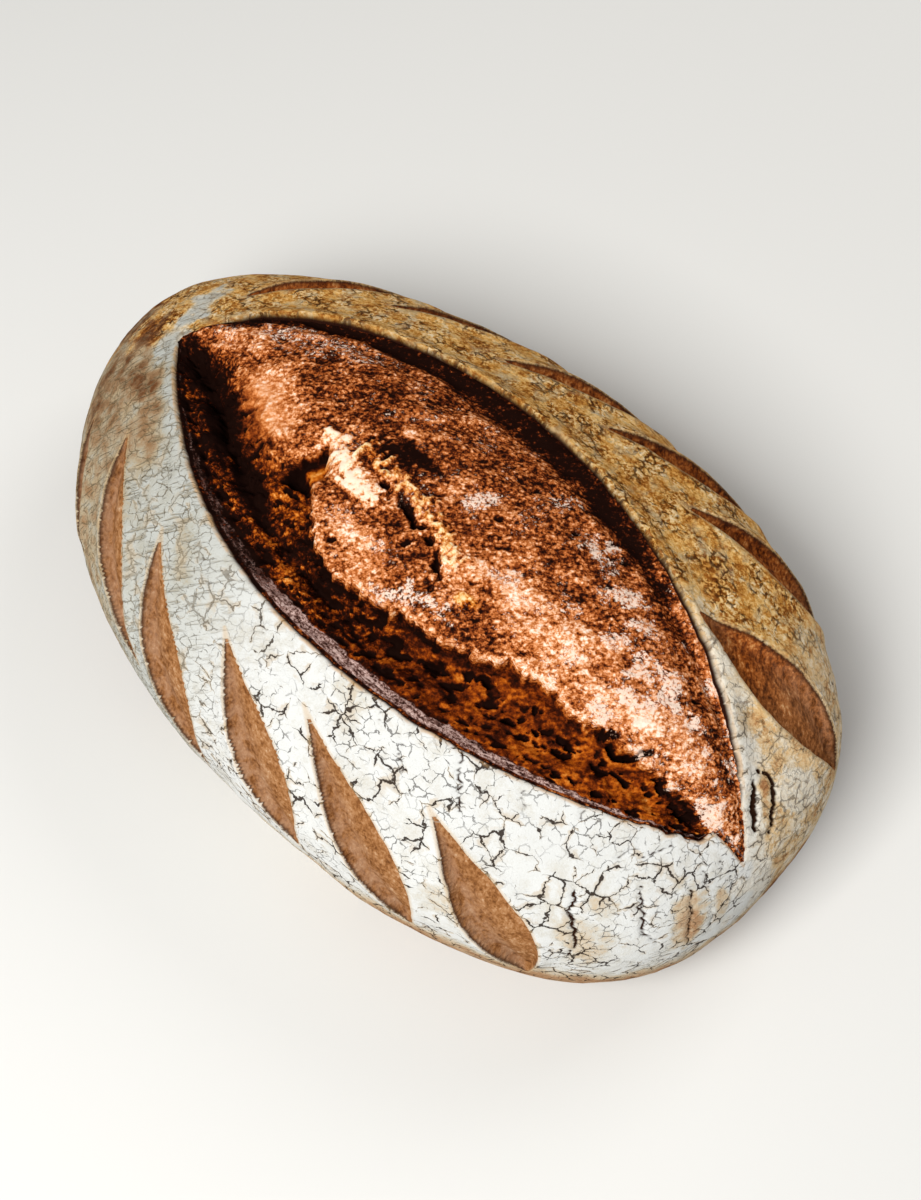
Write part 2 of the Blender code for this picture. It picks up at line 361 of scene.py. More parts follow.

# %% [markdown]
# ## Large cracks
#
# The drying skin has torn in some twenty cracks, most of them at the blunt front end, the widest
# about as wide as a match. A noise pattern could draw them all over, but real ones lie where the
# cuts pull the skin. So each is a groove along a few given points on the chart.

# %% Crack lines
# Each row has a width and then places on the chart in millimetres.
CRACKS = (
    (0.9, (86, -47), (90, -50), (93, -54), (100, -57), (106, -62), (113, -68)),
    (0.8, (99, -34), (105, -38), (111, -42), (118, -46), (121, -45), (128, -46)),
    (0.8, (111, -25), (117, -28), (125, -32), (134, -36), (142, -40)),
    (0.6, (110, -19), (116, -22), (122, -23)),
    (0.5, (118, -34), (124, -37), (131, -41)),
    (0.6, (127, -24), (134, -27), (141, -30)),
    (0.6, (113, -14), (118, -16), (121, -19)),
    (0.7, (125, -15), (130, -16), (134, -18)),
    (1.5, (103, 7), (108, 4), (113, 2), (119, -1)),
    (1.2, (101, 10), (106, 13), (113, 11), (122, 6), (126, 3)),
    (0.7, (98, 1), (101, 4)),
    (0.6, (112, -6), (114, -3)),
    (0.7, (94, -30), (96, -26), (98, -22)),
    (0.6, (89, -35), (89, -31), (92, -28)),
    (0.6, (58, -35), (61, -39), (66, -43)),
    (0.6, (69, -27), (72, -30), (74, -34)),
    (0.7, (43, -40), (47, -44), (50, -49), (54, -53)),
    (0.6, (31, -48), (35, -52), (39, -57), (40, -61)),
    (0.5, (20, -41), (24, -46), (27, -50)),
    (0.6, (-61, -33), (-57, -38), (-54, -43)),
    (0.5, (-35, -46), (-30, -51), (-27, -55)),
    (0.5, (-14, -48), (-9, -53), (-6, -57)),
)
CRACK_WANDER = 0.0011
CRACK_WANDER_SIZE = 0.0030
CRACK_WANDER_ALONG = 0.6
CRACK_LEVEL = 1.5
CRACK_BREADTH = 0.0011
CRACK_TIP_SHARE = 0.45
CRACK_MARGIN = 0.003


def crack_line(points):
    """A crack through its points, wandering a little, as arrays of u and v."""
    u, v = np.array(points).T / 1000
    reach = np.concatenate([[0], np.cumsum(np.hypot(np.diff(u), np.diff(v)))])
    steps = np.arange(0, reach[-1], FINE_STEP / 2)
    u, v = np.interp(steps, reach, u), np.interp(steps, reach, v)
    wander = rough(steps, np.zeros_like(steps) + u[0], CRACK_WANDER, CRACK_WANDER_SIZE, CRACK_LEVEL, 4)
    return u + wander * CRACK_WANDER_ALONG, v + wander


CRACK_LINES = [(crack_line(points), width) for width, *points in CRACKS]


def crack_depths(u, v):
    """How far into a large crack each chart place is: 1 at its middle line, 0 outside."""
    depths = np.zeros_like(u)
    for (line_u, line_v), width in CRACK_LINES:
        near = (u > line_u.min() - CRACK_MARGIN) & (u < line_u.max() + CRACK_MARGIN)
        near &= (v > line_v.min() - CRACK_MARGIN) & (v < line_v.max() + CRACK_MARGIN)
        if near.any():
            away = np.hypot(u[near][:, None] - line_u, v[near][:, None] - line_v)
            share = np.linspace(0, 1, len(line_u))[away.argmin(axis=1)]
            swell = CRACK_TIP_SHARE + (1 - CRACK_TIP_SHARE) * np.sin(np.pi * share)
            breadth = width * CRACK_BREADTH * swell
            depths[near] = np.maximum(depths[near], width * eased(1 - away.min(axis=1) / breadth))
    return np.minimum(depths, 1)


print(len(CRACKS), "large cracks")

# %% [markdown]
# ## Heights of the skin
#
# The skin swells a little everywhere, rises to the two lips, sinks in the slashes and cracks, and
# turns sharply down inside the split, where the torn dough will hide it.

# %% Skin relief
SWELL_SIZE = 0.045
SWELL_HEIGHT = 0.0009
FOOT_START = 1.15
FOOT_END = 1.32
NEAR_LIP_RISE = 0.0012
FAR_LIP_RISE = 0.0028
LIP_REACH = 0.008
SPLIT_FULL_HALF_WIDTH = 0.042
SKIN_TURN_DOWN = 0.020
SKIN_TURN_REACH = 0.0040
CRACK_DEPTH = 0.0013
SKIN_LUMPS = ((0.012, 0.00030), (0.0035, 0.00013))
SKIN_LEVEL = 2.0
SLASH_CALM_REACH = 0.002


def skin_heights(u, v, on_edge):
    """Height of the skin over the plain body at chart places."""
    near, far = lips_across(u)
    inside = inside_split(u, v) & ~on_edge
    _, _, away = nearest_on(SPLIT_TREE, u, v)
    height = SWELL_HEIGHT * uneven(u, v, SWELL_SIZE, 0.5 / SWELL_SIZE)
    opening = eased((far - near) / SPLIT_FULL_HALF_WIDTH)
    rise = np.where(v < (near + far) / 2, NEAR_LIP_RISE, FAR_LIP_RISE)
    height += rise * opening * eased(1 - np.where(inside, 0, away) / LIP_REACH)
    inset, place, sunk = slash_fields(u, v)
    height += sunk
    for size, lump in SKIN_LUMPS:
        height += lump * uneven(u, v, size, SKIN_LEVEL) * eased(-inset / SLASH_CALM_REACH + 1)
    cracks = crack_depths(u, v)
    height -= CRACK_DEPTH * cracks
    down = SKIN_TURN_DOWN * (away / SKIN_TURN_REACH)
    height = np.where(inside, height - np.minimum(down, SKIN_TURN_DOWN), height)
    tilt = np.hypot(u / CHART_LENGTH, v / CHART_WIDTH)
    height *= eased((FOOT_END - tilt) / (FOOT_END - FOOT_START))
    fields = {"lip": np.where(inside, -away, away), "inset": inset, "place": place, "crack": cracks}
    return height, fields


trial, _ = skin_heights(np.array([0.0]), np.array([0.040]), np.array([False]))
print("beside the middle of the ear the skin stands", trial.round(4), "off the body")

# %% [markdown]
# ## The skin's mesh
#
# A grid from `create_grid` is drawn over the chart, square on top and oval at the rim, and its
# points near a lip or a slash are pulled onto it, so that each edge is crisp. The middle of the
# split is cut out and closed well below the dough, and the rim is closed by the flat base.

# %% Skin mesh helpers
SKIN_CELLS = (412, 264)
TOP_FINENESS = 0.80
NEAR_FINENESS = 0.16
SNAP_SHARE = 0.52
RELAX_ROUNDS = 3
SPLIT_KEEP = 0.0045
BOX_EASE = 0.0008


def spacing_of(u, v):
    """The wider spacing of the skin's grid at each of its points."""
    rows_u, rows_v = (c.reshape(SKIN_CELLS[1] + 1, SKIN_CELLS[0] + 1) for c in (u, v))
    steps = [np.hypot(np.gradient(rows_u, axis=axis), np.gradient(rows_v, axis=axis)) for axis in (0, 1)]
    return np.maximum(*steps).ravel()


def base_share(turn):
    """Tilt, as a share of the tilt at the widest level, where the flank meets the floor."""
    slope = ((FLANK_DROP / WIDEST_LEVEL) ** FLANK_POWER - 1) ** (1 / FLANK_POWER)
    return 2 - np.arctan(slope / plan_gauge(turn)) / (np.pi / 2)


def chart_places(x, y):
    """Chart places of grid points whose x and y run from -1 to 1, closer together on the near side."""
    y = y + NEAR_FINENESS * (y * y - 1)
    x, y = (c * (TOP_FINENESS + (1 - TOP_FINENESS) * c ** 4) for c in (x, y))
    reach = np.maximum(np.abs(x), np.abs(y))
    rounding = (reach / np.maximum(np.hypot(x, y), 1e-9)) ** (reach * reach)
    share = base_share(np.arctan2(y, x)) * rounding
    return CHART_LENGTH * share * x, CHART_WIDTH * share * y


print("the flank meets the floor at", base_share(np.zeros(1)).round(3), "of the chart's reach")

# %% [markdown]
# ## Meshes and their numbers
#
# Python is slow on a hundred thousand points one by one, so whole arrays go into a mesh and come out
# of it at once, both for the places of its points and for the numbers that a finish reads.

# %% Mesh helpers


def coordinates(mesh):
    """A mesh's vertex places as an array."""
    places = np.zeros(len(mesh.vertices) * 3, np.float32)
    mesh.vertices.foreach_get("co", places)
    return places.reshape(-1, 3).astype(float)


def move_to(mesh, places):
    """Put a mesh's vertices at an array of places."""
    mesh.vertices.foreach_set("co", places.astype(np.float32).ravel())
    mesh.update()


def give_attribute(mesh, name, values):
    """Store one number for each vertex, for the finish to read."""
    mesh.attributes.new(name, "FLOAT", "POINT").data.foreach_set("value", values.astype(np.float32))


def give_chart(mesh, u, v, name="chart"):
    """Store each vertex's chart place in millimetres, for patterns that follow the crust."""
    places = np.stack([u * 1000, v * 1000, np.zeros_like(u)], axis=1)
    chart = mesh.attributes.new(name, "FLOAT_VECTOR", "POINT")
    chart.data.foreach_set("vector", places.astype(np.float32).ravel())


def lifted(u, v, height):
    """Places over the body at heights along its outward direction."""
    return body_places(u, v) + body_normals(u, v) * height[:, None]


def held_inside(places):
    """Ease places near or past the sides and top of the plain loaf's box back inside it."""
    low, high = np.array(CAD_BOX[0]), np.array(CAD_BOX[1])
    past_high = np.maximum(places - (high - BOX_EASE), 0)
    past_low = np.maximum((low + BOX_EASE) - places, 0) * (1, 1, 0)
    eased_high = BOX_EASE * np.tanh(past_high / BOX_EASE)
    eased_low = BOX_EASE * np.tanh(past_low / BOX_EASE)
    return places - (past_high - eased_high) + (past_low - eased_low)


def piece_from(bm, name):
    """A scene object from a bmesh, with smooth faces."""
    mesh = bpy.data.meshes.new(name)
    bm.to_mesh(mesh)
    bm.free()
    mesh.shade_smooth()
    piece = bpy.data.objects.new(name, mesh)
    bpy.context.collection.objects.link(piece)
    return piece


print("the skin's grid has", SKIN_CELLS[0] * SKIN_CELLS[1], "cells")

# %% [markdown]
# ## Drawing and lifting the skin
#
# The grid is snapped to the edges and relaxed while it is still flat, which is simple there and
# would be hard on the finished loaf. Only then is each point lifted to its place on the body.

# %% Draw and lift the skin
bm = bmesh.new()
bmesh.ops.create_grid(bm, x_segments=SKIN_CELLS[0], y_segments=SKIN_CELLS[1], size=1.0)
grid = np.array([vert.co[:2] for vert in bm.verts])
skin_u, skin_v = chart_places(grid[:, 0], grid[:, 1])
snapped = np.zeros(len(skin_u), bool)
spacing = spacing_of(skin_u, skin_v)
for tree in (SPLIT_TREE, SLASH_TREE):
    to_u, to_v, away = nearest_on(tree, skin_u, skin_v)
    close = away < SNAP_SHARE * spacing
    skin_u, skin_v = np.where(close, to_u, skin_u), np.where(close, to_v, skin_v)
    snapped |= close
for vert, u, v in zip(bm.verts, skin_u, skin_v):
    vert.co = (u, v, 0.0)
loose = [vert for vert, held in zip(bm.verts, snapped) if not held and not vert.is_boundary]
for _ in range(RELAX_ROUNDS):
    bmesh.ops.smooth_vert(bm, verts=loose, factor=0.5, use_axis_x=True, use_axis_y=True, use_axis_z=False)
skin_u, skin_v = (np.array([vert.co[axis] for vert in bm.verts]) for axis in (0, 1))
_, _, away = nearest_on(SPLIT_TREE, skin_u, skin_v)
deep = inside_split(skin_u, skin_v) & (away > SPLIT_KEEP)
for vert, held, sunk in zip(bm.verts, snapped, deep):
    vert.co.z = 1.0 if held else 0.0
    vert.tag = bool(sunk)
inner = [face for face in bm.faces if all(vert.tag for vert in face.verts)]
bmesh.ops.delete(bm, geom=inner, context="FACES")
bmesh.ops.edgeloop_fill(bm, edges=[edge for edge in bm.edges if edge.is_boundary])
print("the skin has", len(bm.faces), "faces")
skin = piece_from(bm, "floured_skin")
flat = coordinates(skin.data)
skin_u, skin_v = flat[:, 0], flat[:, 1]
skin_height, skin_fields = skin_heights(skin_u, skin_v, flat[:, 2] > 0.5)
skin_places = lifted(skin_u, skin_v, skin_height)
skin_places[:, 2] = np.maximum(skin_places[:, 2], 0.0)
skin_places = held_inside(skin_places)
move_to(skin.data, skin_places)
print("the skin reaches", skin_places.min(0).round(4), skin_places.max(0).round(4))


# %% [markdown]
# ## The torn dough
#
# Inside the split the dough tore as it rose: a deep gully runs along the near lip, then a ragged
# step climbs to a plateau, which slopes to a dark band under the far ear. This is a second piece,
# drawn over the chart as a grid whose rows follow the two lips, so its detail can be twice as fine
# as the skin's. Its edges dive under the skin, so nothing shows where the two pieces meet.

# %% Dough grid
DOUGH_CELLS = (566, 164)
DOUGH_MARGIN = 0.004
TIP_MARGIN = 0.002
bm = bmesh.new()
bmesh.ops.create_grid(bm, x_segments=DOUGH_CELLS[0], y_segments=DOUGH_CELLS[1], size=1.0)
grid = np.array([vert.co[:2] for vert in bm.verts])
dough_u = FAR_LIP[0][0] - TIP_MARGIN + (grid[:, 0] + 1) / 2 * (FAR_LIP[1][0] - FAR_LIP[0][0] + 2 * TIP_MARGIN)
dough_near, dough_far = lips_across(dough_u)
dough_v = dough_near - DOUGH_MARGIN + (grid[:, 1] + 1) / 2 * (dough_far - dough_near + 2 * DOUGH_MARGIN)
print("the torn dough has", len(bm.verts), "points")

# %% [markdown]
# ## Where things are inside the split
#
# Lines and spots on the chart say where each feature lies, in tables of millimetres. A line is a
# run of points. A spot is an ellipse, given by its middle, its two radii and the angle of the
# longer one. Its rim can be ragged, as few things on torn dough are smooth.

# %% Lines and spots
SPOT_OCTAVES = 2
SPOT_SEARCH = 2.5


def line_away(u, v, points):
    """Distance of chart places from a line through points."""
    away = np.full_like(u, 1.0)
    points = np.array(points) / 1000
    for (au, av), (bu, bv) in zip(points, points[1:]):
        du, dv = bu - au, bv - av
        along = np.clip(((u - au) * du + (v - av) * dv) / (du * du + dv * dv), 0, 1)
        away = np.minimum(away, np.hypot(u - au - along * du, v - av - along * dv))
    return away


def across_at(u, points):
    """The v of a line that runs along the loaf, at each u."""
    return np.interp(u, *np.array(points).T / 1000)


def ellipse(u, v, x, y, long, short, degrees):
    """How far inside an ellipse chart places are: 1 at its middle, 0 at its rim, less outside."""
    turn = math.radians(degrees)
    du, dv = u * 1000 - x, v * 1000 - y
    along, across = du * math.cos(turn) + dv * math.sin(turn), dv * math.cos(turn) - du * math.sin(turn)
    return 1 - np.hypot(along / long, across / short)


def spot(u, v, x, y, long, short, degrees, rag=0.35, size=0.003):
    """How far inside an ellipse with a ragged rim chart places are."""
    near = np.hypot(u * 1000 - x, v * 1000 - y) < SPOT_SEARCH * max(long, short)
    inside = np.full_like(u, -1.0)
    ragged = rag * uneven(u[near], v[near], size, x * 0.9, octaves=SPOT_OCTAVES)
    inside[near] = ellipse(u[near], v[near], x, y, long, short, degrees) + ragged
    return inside


print("halfway to its rim a smooth spot measures", ellipse(np.array([0.005]), np.zeros(1), 0, 0, 10, 5, 0))

# %% [markdown]
# ## Heights of the torn dough
#
# The coarse shape is a cross-section that changes along the split. At the back the gully is a deep
# recess with a smooth slope up from it; from the middle forward the slope becomes a torn step. Noise
# bends both lines, and a finer noise frays the step.

# %% Coarse shape of the dough
# In millimetres: u with v for the two lines, u with the step's run, and u with a share of the depth.
GULLY_LINE = (
    (-90, -5), (-72, -8), (-59, -15), (-47, -22), (-37, -27), (-20, -34), (-1, -36), (18, -33),
    (35, -29), (52, -25), (72, -18.5), (92, -14.5), (105, -13), (127, -10),
)
STEP_LINE = (
    (-90, -4), (-72, 2), (-60, -1), (-48, -6), (-38, -11), (-30, -12), (-24, -14), (-18, -21),
    (-13, -26.5), (-4, -28.5), (6, -27.5), (14, -25.5), (22, -24.5), (31, -21.5), (35, -19), (38, -16),
    (42, -17), (46, -15), (50, -14.8), (54, -16), (59, -14.8), (64, -13.2), (70, -12.5), (77, -11.5),
    (92, -11), (105, -11.2), (127, -10),
)
STEP_RUN = ((-90, 4), (-60, 14), (-40, 12), (-30, 6), (-14, 4.5), (4, 3), (20, 1.8), (127, 1.8))
DEPTH_SHARE = ((-90, 0.2), (-80, 0.9), (-60, 1.05), (40, 1.0), (70, 0.75), (92, 0.5), (127, 0.2))
GULLY_DEPTH = 0.0092
GULLY_START = 0.003
TERRACE_DEPTH = 0.0052
TERRACE_SHARE = 0.8
LIP_FLOOR_DROP = 0.0012
LIP_FLOOR_SINK = 0.0030
LIP_FLOOR_RUN = 0.0045
PLATEAU = ((0.0, 0.0018), (0.30, 0.0040), (0.60, 0.0034), (0.80, 0.0012), (0.91, -0.0014), (1.0, 0.0006))
PLATEAU_FLATTER = 0.6
DIVE_SLOPE = 1.1
WAVER = (0.0011, 0.010, 4.0, 2)
JAGS = (0.0013, 0.0030, 9.0, 4)
STRAY = (0.0016, 0.0032, 10.0, 4)
LEAST_RUN = 0.001


def coarse_dough(u, v, near, far):
    """Height of the dough's cross-section, and each place's share in its parts."""
    half = (far - near) / 2
    fullness = np.minimum(half / SPLIT_FULL_HALF_WIDTH, 1) ** PLATEAU_FLATTER
    gully, step = across_at(u, GULLY_LINE), across_at(u + rough(u, v, *STRAY), STEP_LINE)
    run = across_at(u, STEP_RUN)
    deep = np.interp(u * 1000, *np.array(DEPTH_SHARE).T)
    from_lip = np.maximum(v - near, 0)
    place = v + rough(u, v, *WAVER) + rough(u, v, *JAGS)
    lip_floor = -LIP_FLOOR_DROP - LIP_FLOOR_SINK * eased(from_lip / LIP_FLOOR_RUN) * deep
    down = eased((place - near - GULLY_START) / np.maximum(gully - near - GULLY_START, LEAST_RUN))
    height = lip_floor * (1 - down) - GULLY_DEPTH * deep * down
    shelf = eased((place - gully) / np.maximum((step - run - gully) * TERRACE_SHARE, LEAST_RUN))
    height = height + (GULLY_DEPTH - TERRACE_DEPTH) * deep * shelf
    climb = eased((place - (step - run)) / np.maximum(run, LEAST_RUN))
    level = section_height(PLATEAU, (v - step) / np.maximum(far - step, 2 * LEAST_RUN)) * fullness
    height = height * (1 - climb) + level * climb
    outside = np.maximum(np.maximum(near - v, v - far), 0)
    parts = {"from_lip": from_lip, "climb": climb, "down": down, "shelf": shelf}
    return height - outside * DIVE_SLOPE, parts


dough_height, dough_parts = coarse_dough(dough_u, dough_v, dough_near, dough_far)
print("the dough's relief runs from", dough_height.min().round(4), "to", dough_height.max().round(4))

# %% [markdown]
# ## Landmarks of the dough
#
# Now come the forms that stand out: a cave where steam pushed out, a crumbly rim and ridge beside
# it, a furrow in front of it and a long ridge at the back. Sculpting would fix them for good. As
# bands along a few points, each with its own height, they can still be moved.

# %% Landmarks of the dough
CAVE_MIDDLE = (-0.0297, -0.0148)
CAVE_REACH = 0.016
CAVE_DEPTH = 0.0060
CAVE_RAG = (0.0010, 0.0035, 63.0, 4)
# Lines and spots in millimetres.
CAVE_RIM = ((-27.8, -4.2), (-25.5, -3.8), (-21.5, -7), (-16.5, -10), (-11.3, -10.6))
RIDGE = ((-19.5, -2), (-13, -2.5), (-6, -3), (1, -4), (8, -6.5), (13, -9))
FURROW = ((-10.5, -5.5), (-4, -6.8), (3, -8.5), (9.5, -10.5), (13.5, -14.5), (13.5, -18))
BACK_RIDGE = ((-66, -16.5), (-59, -21.5), (-44, -28.5), (-28, -33.5), (-15, -37.5), (-6, -38.5))
HOOK_HOLE = ((66.5, -15), (69.5, -15.8), (72.5, -13.5), (75, -9.5))
CRUMB_SPOT = (21.5, -14.5, 3.4, 2.8, 20)
CHAR = (-12.5, 4.5, 9.5, 4.2, 12)
CRUMBLE = (0.0016, 6.0, 3)
# Each band has its line, its reach, how full it is, and the noise that frays its rim.
BANDS = {
    "rim": (CAVE_RIM, 0.0040, 1.05, (0.75, *CRUMBLE)),
    "ridge": (RIDGE, 0.0030, 0.95, (1.1, *CRUMBLE)),
    "furrow": (FURROW, 0.0017, 0.75, (1.2, 0.0024, 61.0, 3)),
    "back_ridge": (BACK_RIDGE, 0.0034, 1.1, (0.5, 0.003, 11.0, 3)),
    "hook": (HOOK_HOLE, 0.0010, 1.25, (0.4, *CRUMBLE)),
}
# Each landmark rises by a height, and by another height where the dough crumbles.
RISES = (
    ("rim", 0.0010, 0.0004), ("ridge", 0.0013, 0.0007), ("furrow", -0.0024, 0.0), ("hook", -0.0036, 0.0),
    ("crumbs", 0.0006, 0.0011), ("back_ridge", 0.0026, 0.0), ("char", 0.0, 0.0005),
    ("cave", -CAVE_DEPTH, 0.0),
)


def cave_shape(u, v):
    """How deep in the cave each chart place is, from 0 to 1, and how much painted shadow lies there."""
    du, dv = u - CAVE_MIDDLE[0], v - CAVE_MIDDLE[1]
    near = np.hypot(du, dv) < CAVE_REACH
    right, up = (du + dv)[near] / math.sqrt(2), (dv - du)[near] / math.sqrt(2)
    rag = rough(u[near], v[near], *CAVE_RAG)
    under_roof = (0.0024 + 0.364 * right - up + rag) / 1.06
    before_wall = 0.0085 - right + rag
    above_floor = up + 0.0070 + rag
    past_corner = (up + 1.02 * right + 0.0076 + rag) / 1.43
    depth, dark = np.zeros_like(u), np.zeros_like(u)
    sides = eased(under_roof / 0.0012) * eased(before_wall / 0.0028)
    depth[near] = sides * eased(above_floor / 0.0060) * eased(past_corner / 0.0030)
    # Painted shadow inside the cave, darker towards its roof and away from its right wall.
    dark[near] = eased(0.5 + (up - 0.8 * right) / 0.010)
    return depth, dark


def landmarks(u, v, height):
    """The dough's height with its landmarks, and a mask of each."""
    crumbly = rough(u, v, 1.0, *CRUMBLE)
    masks = {}
    for name, (points, reach, fullness, rag) in BANDS.items():
        masks[name] = eased(fullness - line_away(u, v, points) / reach + rough(u, v, *rag))
    masks["crumbs"] = eased(spot(u, v, *CRUMB_SPOT) * 2)
    masks["char"] = eased(spot(u, v, *CHAR, rag=0.6, size=0.002) * 1.8)
    masks["cave"], masks["cave_dark"] = cave_shape(u, v)
    for name, rise, crumbs in RISES:
        height = height + masks[name] * (rise + crumbs * crumbly)
    masks["rim"] = masks["rim"] * (1 - masks["cave"])
    return height, masks


dough_height, dough_masks = landmarks(dough_u, dough_v, dough_height)
print("the cave covers", round((dough_masks["cave"] > 0.5).mean() * 100, 1), "% of the dough's points")

# %% [markdown]
# ## Holes and pits
#
# Small gas bubbles burst along the gully and on the shelf in front. The clearest ones are listed
# spots. The others lie wherever noise rises over a threshold, so they can be as many as needed.

# %% Holes and pits
# Spots in millimetres.
SHELF_HOLES = (
    (32, -25.5, 3.2, 1.3, 30), (35, -24, 1.8, 1.2, 0), (48, -20.5, 1.8, 0.8, 40),
    (58, -21.5, 3.4, 0.9, 8), (64.5, -13.5, 2.8, 1.5, 20), (45, -27, 2.8, 0.8, 25),
    (24, -30, 2.2, 1, 15), (51, -24.5, 1.6, 0.7, 0), (84, -13.5, 3, 1.6, -10), (96, -14, 2.6, 1.8, 40),
    (112, -9.5, 1.6, 1.2, 0),
)
PLATEAU_PITS = (
    (13, 6), (13, 19), (26, 17), (33, 23), (38, 21), (40, 12), (74, 8), (-52, 15.5), (-34, 4.5),
    (3, -13.5), (-10, -24), (-21, 1),
)
PIT_SHAPE = (1.4, 0.8, 50)
HOLE_RIM = 0.12
HOLE_DEPTHS = (("holes", 0.0022), ("pits", 0.0013), ("line_holes", 0.0018), ("deep_holes", 0.0016))
HOLE_LINE = 0.0068
HOLE_LINE_REACH = 0.0022


def scattered(u, v, size, level, threshold, angle):
    """Holes from 0 to 1 where noise rises over a threshold."""
    lumps = uneven(u, v, size, level, octaves=3, stretch=1.7, angle=angle)
    return eased((lumps - threshold) / HOLE_RIM)


def pocked(u, v, near, far, height, parts, masks):
    """The dough's height with its holes, and their masks added to the others."""
    full = np.minimum((far - near) / 2 / SPLIT_FULL_HALF_WIDTH, 1)
    open_sky = eased((v - near) / 0.002) * eased((far - v) / 0.002)
    low = (1 - parts["climb"]) * open_sky
    shelf = parts["shelf"] * eased((u - 0.015) / 0.02)
    holes, pits = np.zeros_like(u), masks["furrow"] * 0.8
    for place in SHELF_HOLES:
        holes = np.maximum(holes, eased(spot(u, v, *place, rag=0.8, size=0.0013) * 2))
    for place in PLATEAU_PITS:
        pits = np.maximum(pits, eased(spot(u, v, *place, *PIT_SHAPE, rag=0.6, size=0.0012) * 2))
    line_holes = scattered(u, v, 0.0022, 13.0, 0.10, 0.3) * low
    line_holes = line_holes * eased(1.2 - np.abs(parts["from_lip"] - HOLE_LINE * full) / HOLE_LINE_REACH)
    deep_holes = scattered(u, v, 0.0028, 17.0, 0.14, 0.5) * low * eased(parts["down"] * 2 - 0.8)
    deep_holes = deep_holes * (1 - masks["back_ridge"]) * (1 - 0.75 * shelf)
    masks = {**masks, "holes": holes, "pits": pits, "line_holes": line_holes, "deep_holes": deep_holes}
    for name, depth in HOLE_DEPTHS:
        height = height - depth * masks[name]
    masks.update(holes=np.maximum(holes, masks["hook"]), low=low, open_sky=open_sky, shelf=shelf)
    return height, masks


dough_height, dough_masks = pocked(
    dough_u, dough_v, dough_near, dough_far, dough_height, dough_parts, dough_masks)
print("with its holes it runs from", dough_height.min().round(4), "to", dough_height.max().round(4))

# %% [markdown]
# ## Tears and streaks
#
# Dough is pulled apart along one direction, its grain. Noise drawn out along it makes the streaks
# and lumps that the tear left. Only the smooth slope at the back stays calmer.

# %% Tears and streaks
# A spot in millimetres.
SLOPE_SPOT = (-49, -8, 22, 13, -25)
GRAIN_DEGREES = 38
TEAR_HEIGHT = 0.0013
STREAK_HEIGHT = 0.00016
LUMP_HEIGHT = 0.00075


def torn_relief(u, v, height, parts, masks):
    """The dough's height with tears and streaks, and their masks added to the others."""
    grain = math.radians(GRAIN_DEGREES)
    slope = eased(ellipse(u, v, *SLOPE_SPOT))
    torn = uneven(u, v, 0.0055, 21.0, octaves=3, stretch=1.5, angle=0.4)
    streak = uneven(u, v, 0.00100, 25.0, octaves=3, stretch=1.9, angle=grain)
    lumps = uneven(u, v, 0.0045, 29.0, octaves=4, stretch=1.9, angle=grain)
    height = height + masks["low"] * torn * TEAR_HEIGHT * (1 - 0.7 * slope) * (1 - 0.4 * masks["shelf"])
    fine = STREAK_HEIGHT * streak + LUMP_HEIGHT * lumps * parts["climb"]
    height = height + masks["open_sky"] * fine * (1 - 0.6 * slope)
    return height, {**masks, "torn": torn, "lumps": lumps, "streak": streak, "slope": slope}


dough_height, dough_masks = torn_relief(dough_u, dough_v, dough_height, dough_parts, dough_masks)
print("with its features it runs from", dough_height.min().round(4), "to", dough_height.max().round(4))

# %% [markdown]
# ## How the dough baked, and its painted shade
#
# The colour of torn dough follows its height and how thin it was pulled: pale and pink where it
# stayed soft, rust brown where it faced the heat, nearly black on edges. Holes, hollows, the cave
# and the strip under the near lip are darkened as painted shade, and raised grain is lightened as
# painted highlight. One number per point, from 0 for pale to 1 for darkest, holds bake and painted
# shade together, and the finish turns it into colours.

# %% Bake and painted shade of the dough
# A line and spots in millimetres; a spot ends with how much it changes the bake.
DARK_BAND_LINE = (
    (-90, 0), (-73, 7), (-55, 20), (-37, 27), (-16, 30), (5, 30), (22, 28), (35, 23.5), (51, 17),
    (71, 7.5), (93, -2), (127, -9),
)
PALE_SPOTS = (
    (-46, -5, 19, 9, -25, 0.36), (-6, -21.5, 14, 6, -8, 0.26), (20, -8, 18, 10, 25, 0.2),
    (40, -6, 24, 11, 12, 0.28), (62, -8, 18, 6, 8, 0.26), (80, -3, 20, 6, 0, 0.18),
    (-22, -10, 12, 6, 0, 0.22), (12, 4, 22, 10, 0, 0.08), (-70, 4, 16, 7, 15, 0.24),
    (-13, -18.5, 9, 4.5, -15, 0.22), (0, -25, 9, 4.5, 15, 0.22), (-12, -8.5, 10, 5, -15, 0.24),
    (-15, 8.5, 10, 4, 45, 0.14), (108, -8, 14, 4, 0, 0.1),
)
BURNT_SPOTS = (
    (-60, -15.5, 26, 8.5, -38, 0.44), (-39, -25.5, 14, 5.5, -32, 0.5), (-30, 11, 16, 4, 30, 0.12),
    (-80, -6.5, 13, 5.5, -25, 0.56), (-10, -31, 16, 4, -12, 0.16), (95, -12.5, 10, 3.5, 5, 0.25),
)
# Holes, pits, line holes and deep holes are darkened as painted shade, and raised streaks and lumps are
# lightened as painted highlight. Char, rim, ridges and crumbs change by their own colour.
BAKE_AND_SHADE_CHANGES = (
    ("holes", 0.6), ("pits", 0.4), ("char", 0.42), ("deep_holes", 0.35), ("line_holes", 0.4),
    ("rim", -0.45), ("ridge", -0.20), ("crumbs", -0.18), ("back_ridge", -0.06),
    ("streak", -0.16), ("lumps", -0.06),
)
# Strength of the painted shade in hollows and painted highlight on raised points, and how many rounds of blur
# give the mean they are measured from.
PAINTED_CAVITY_SHADE = 230
PAINTED_SHADE_ROUNDS = 12
DUST_RUN = 0.0009


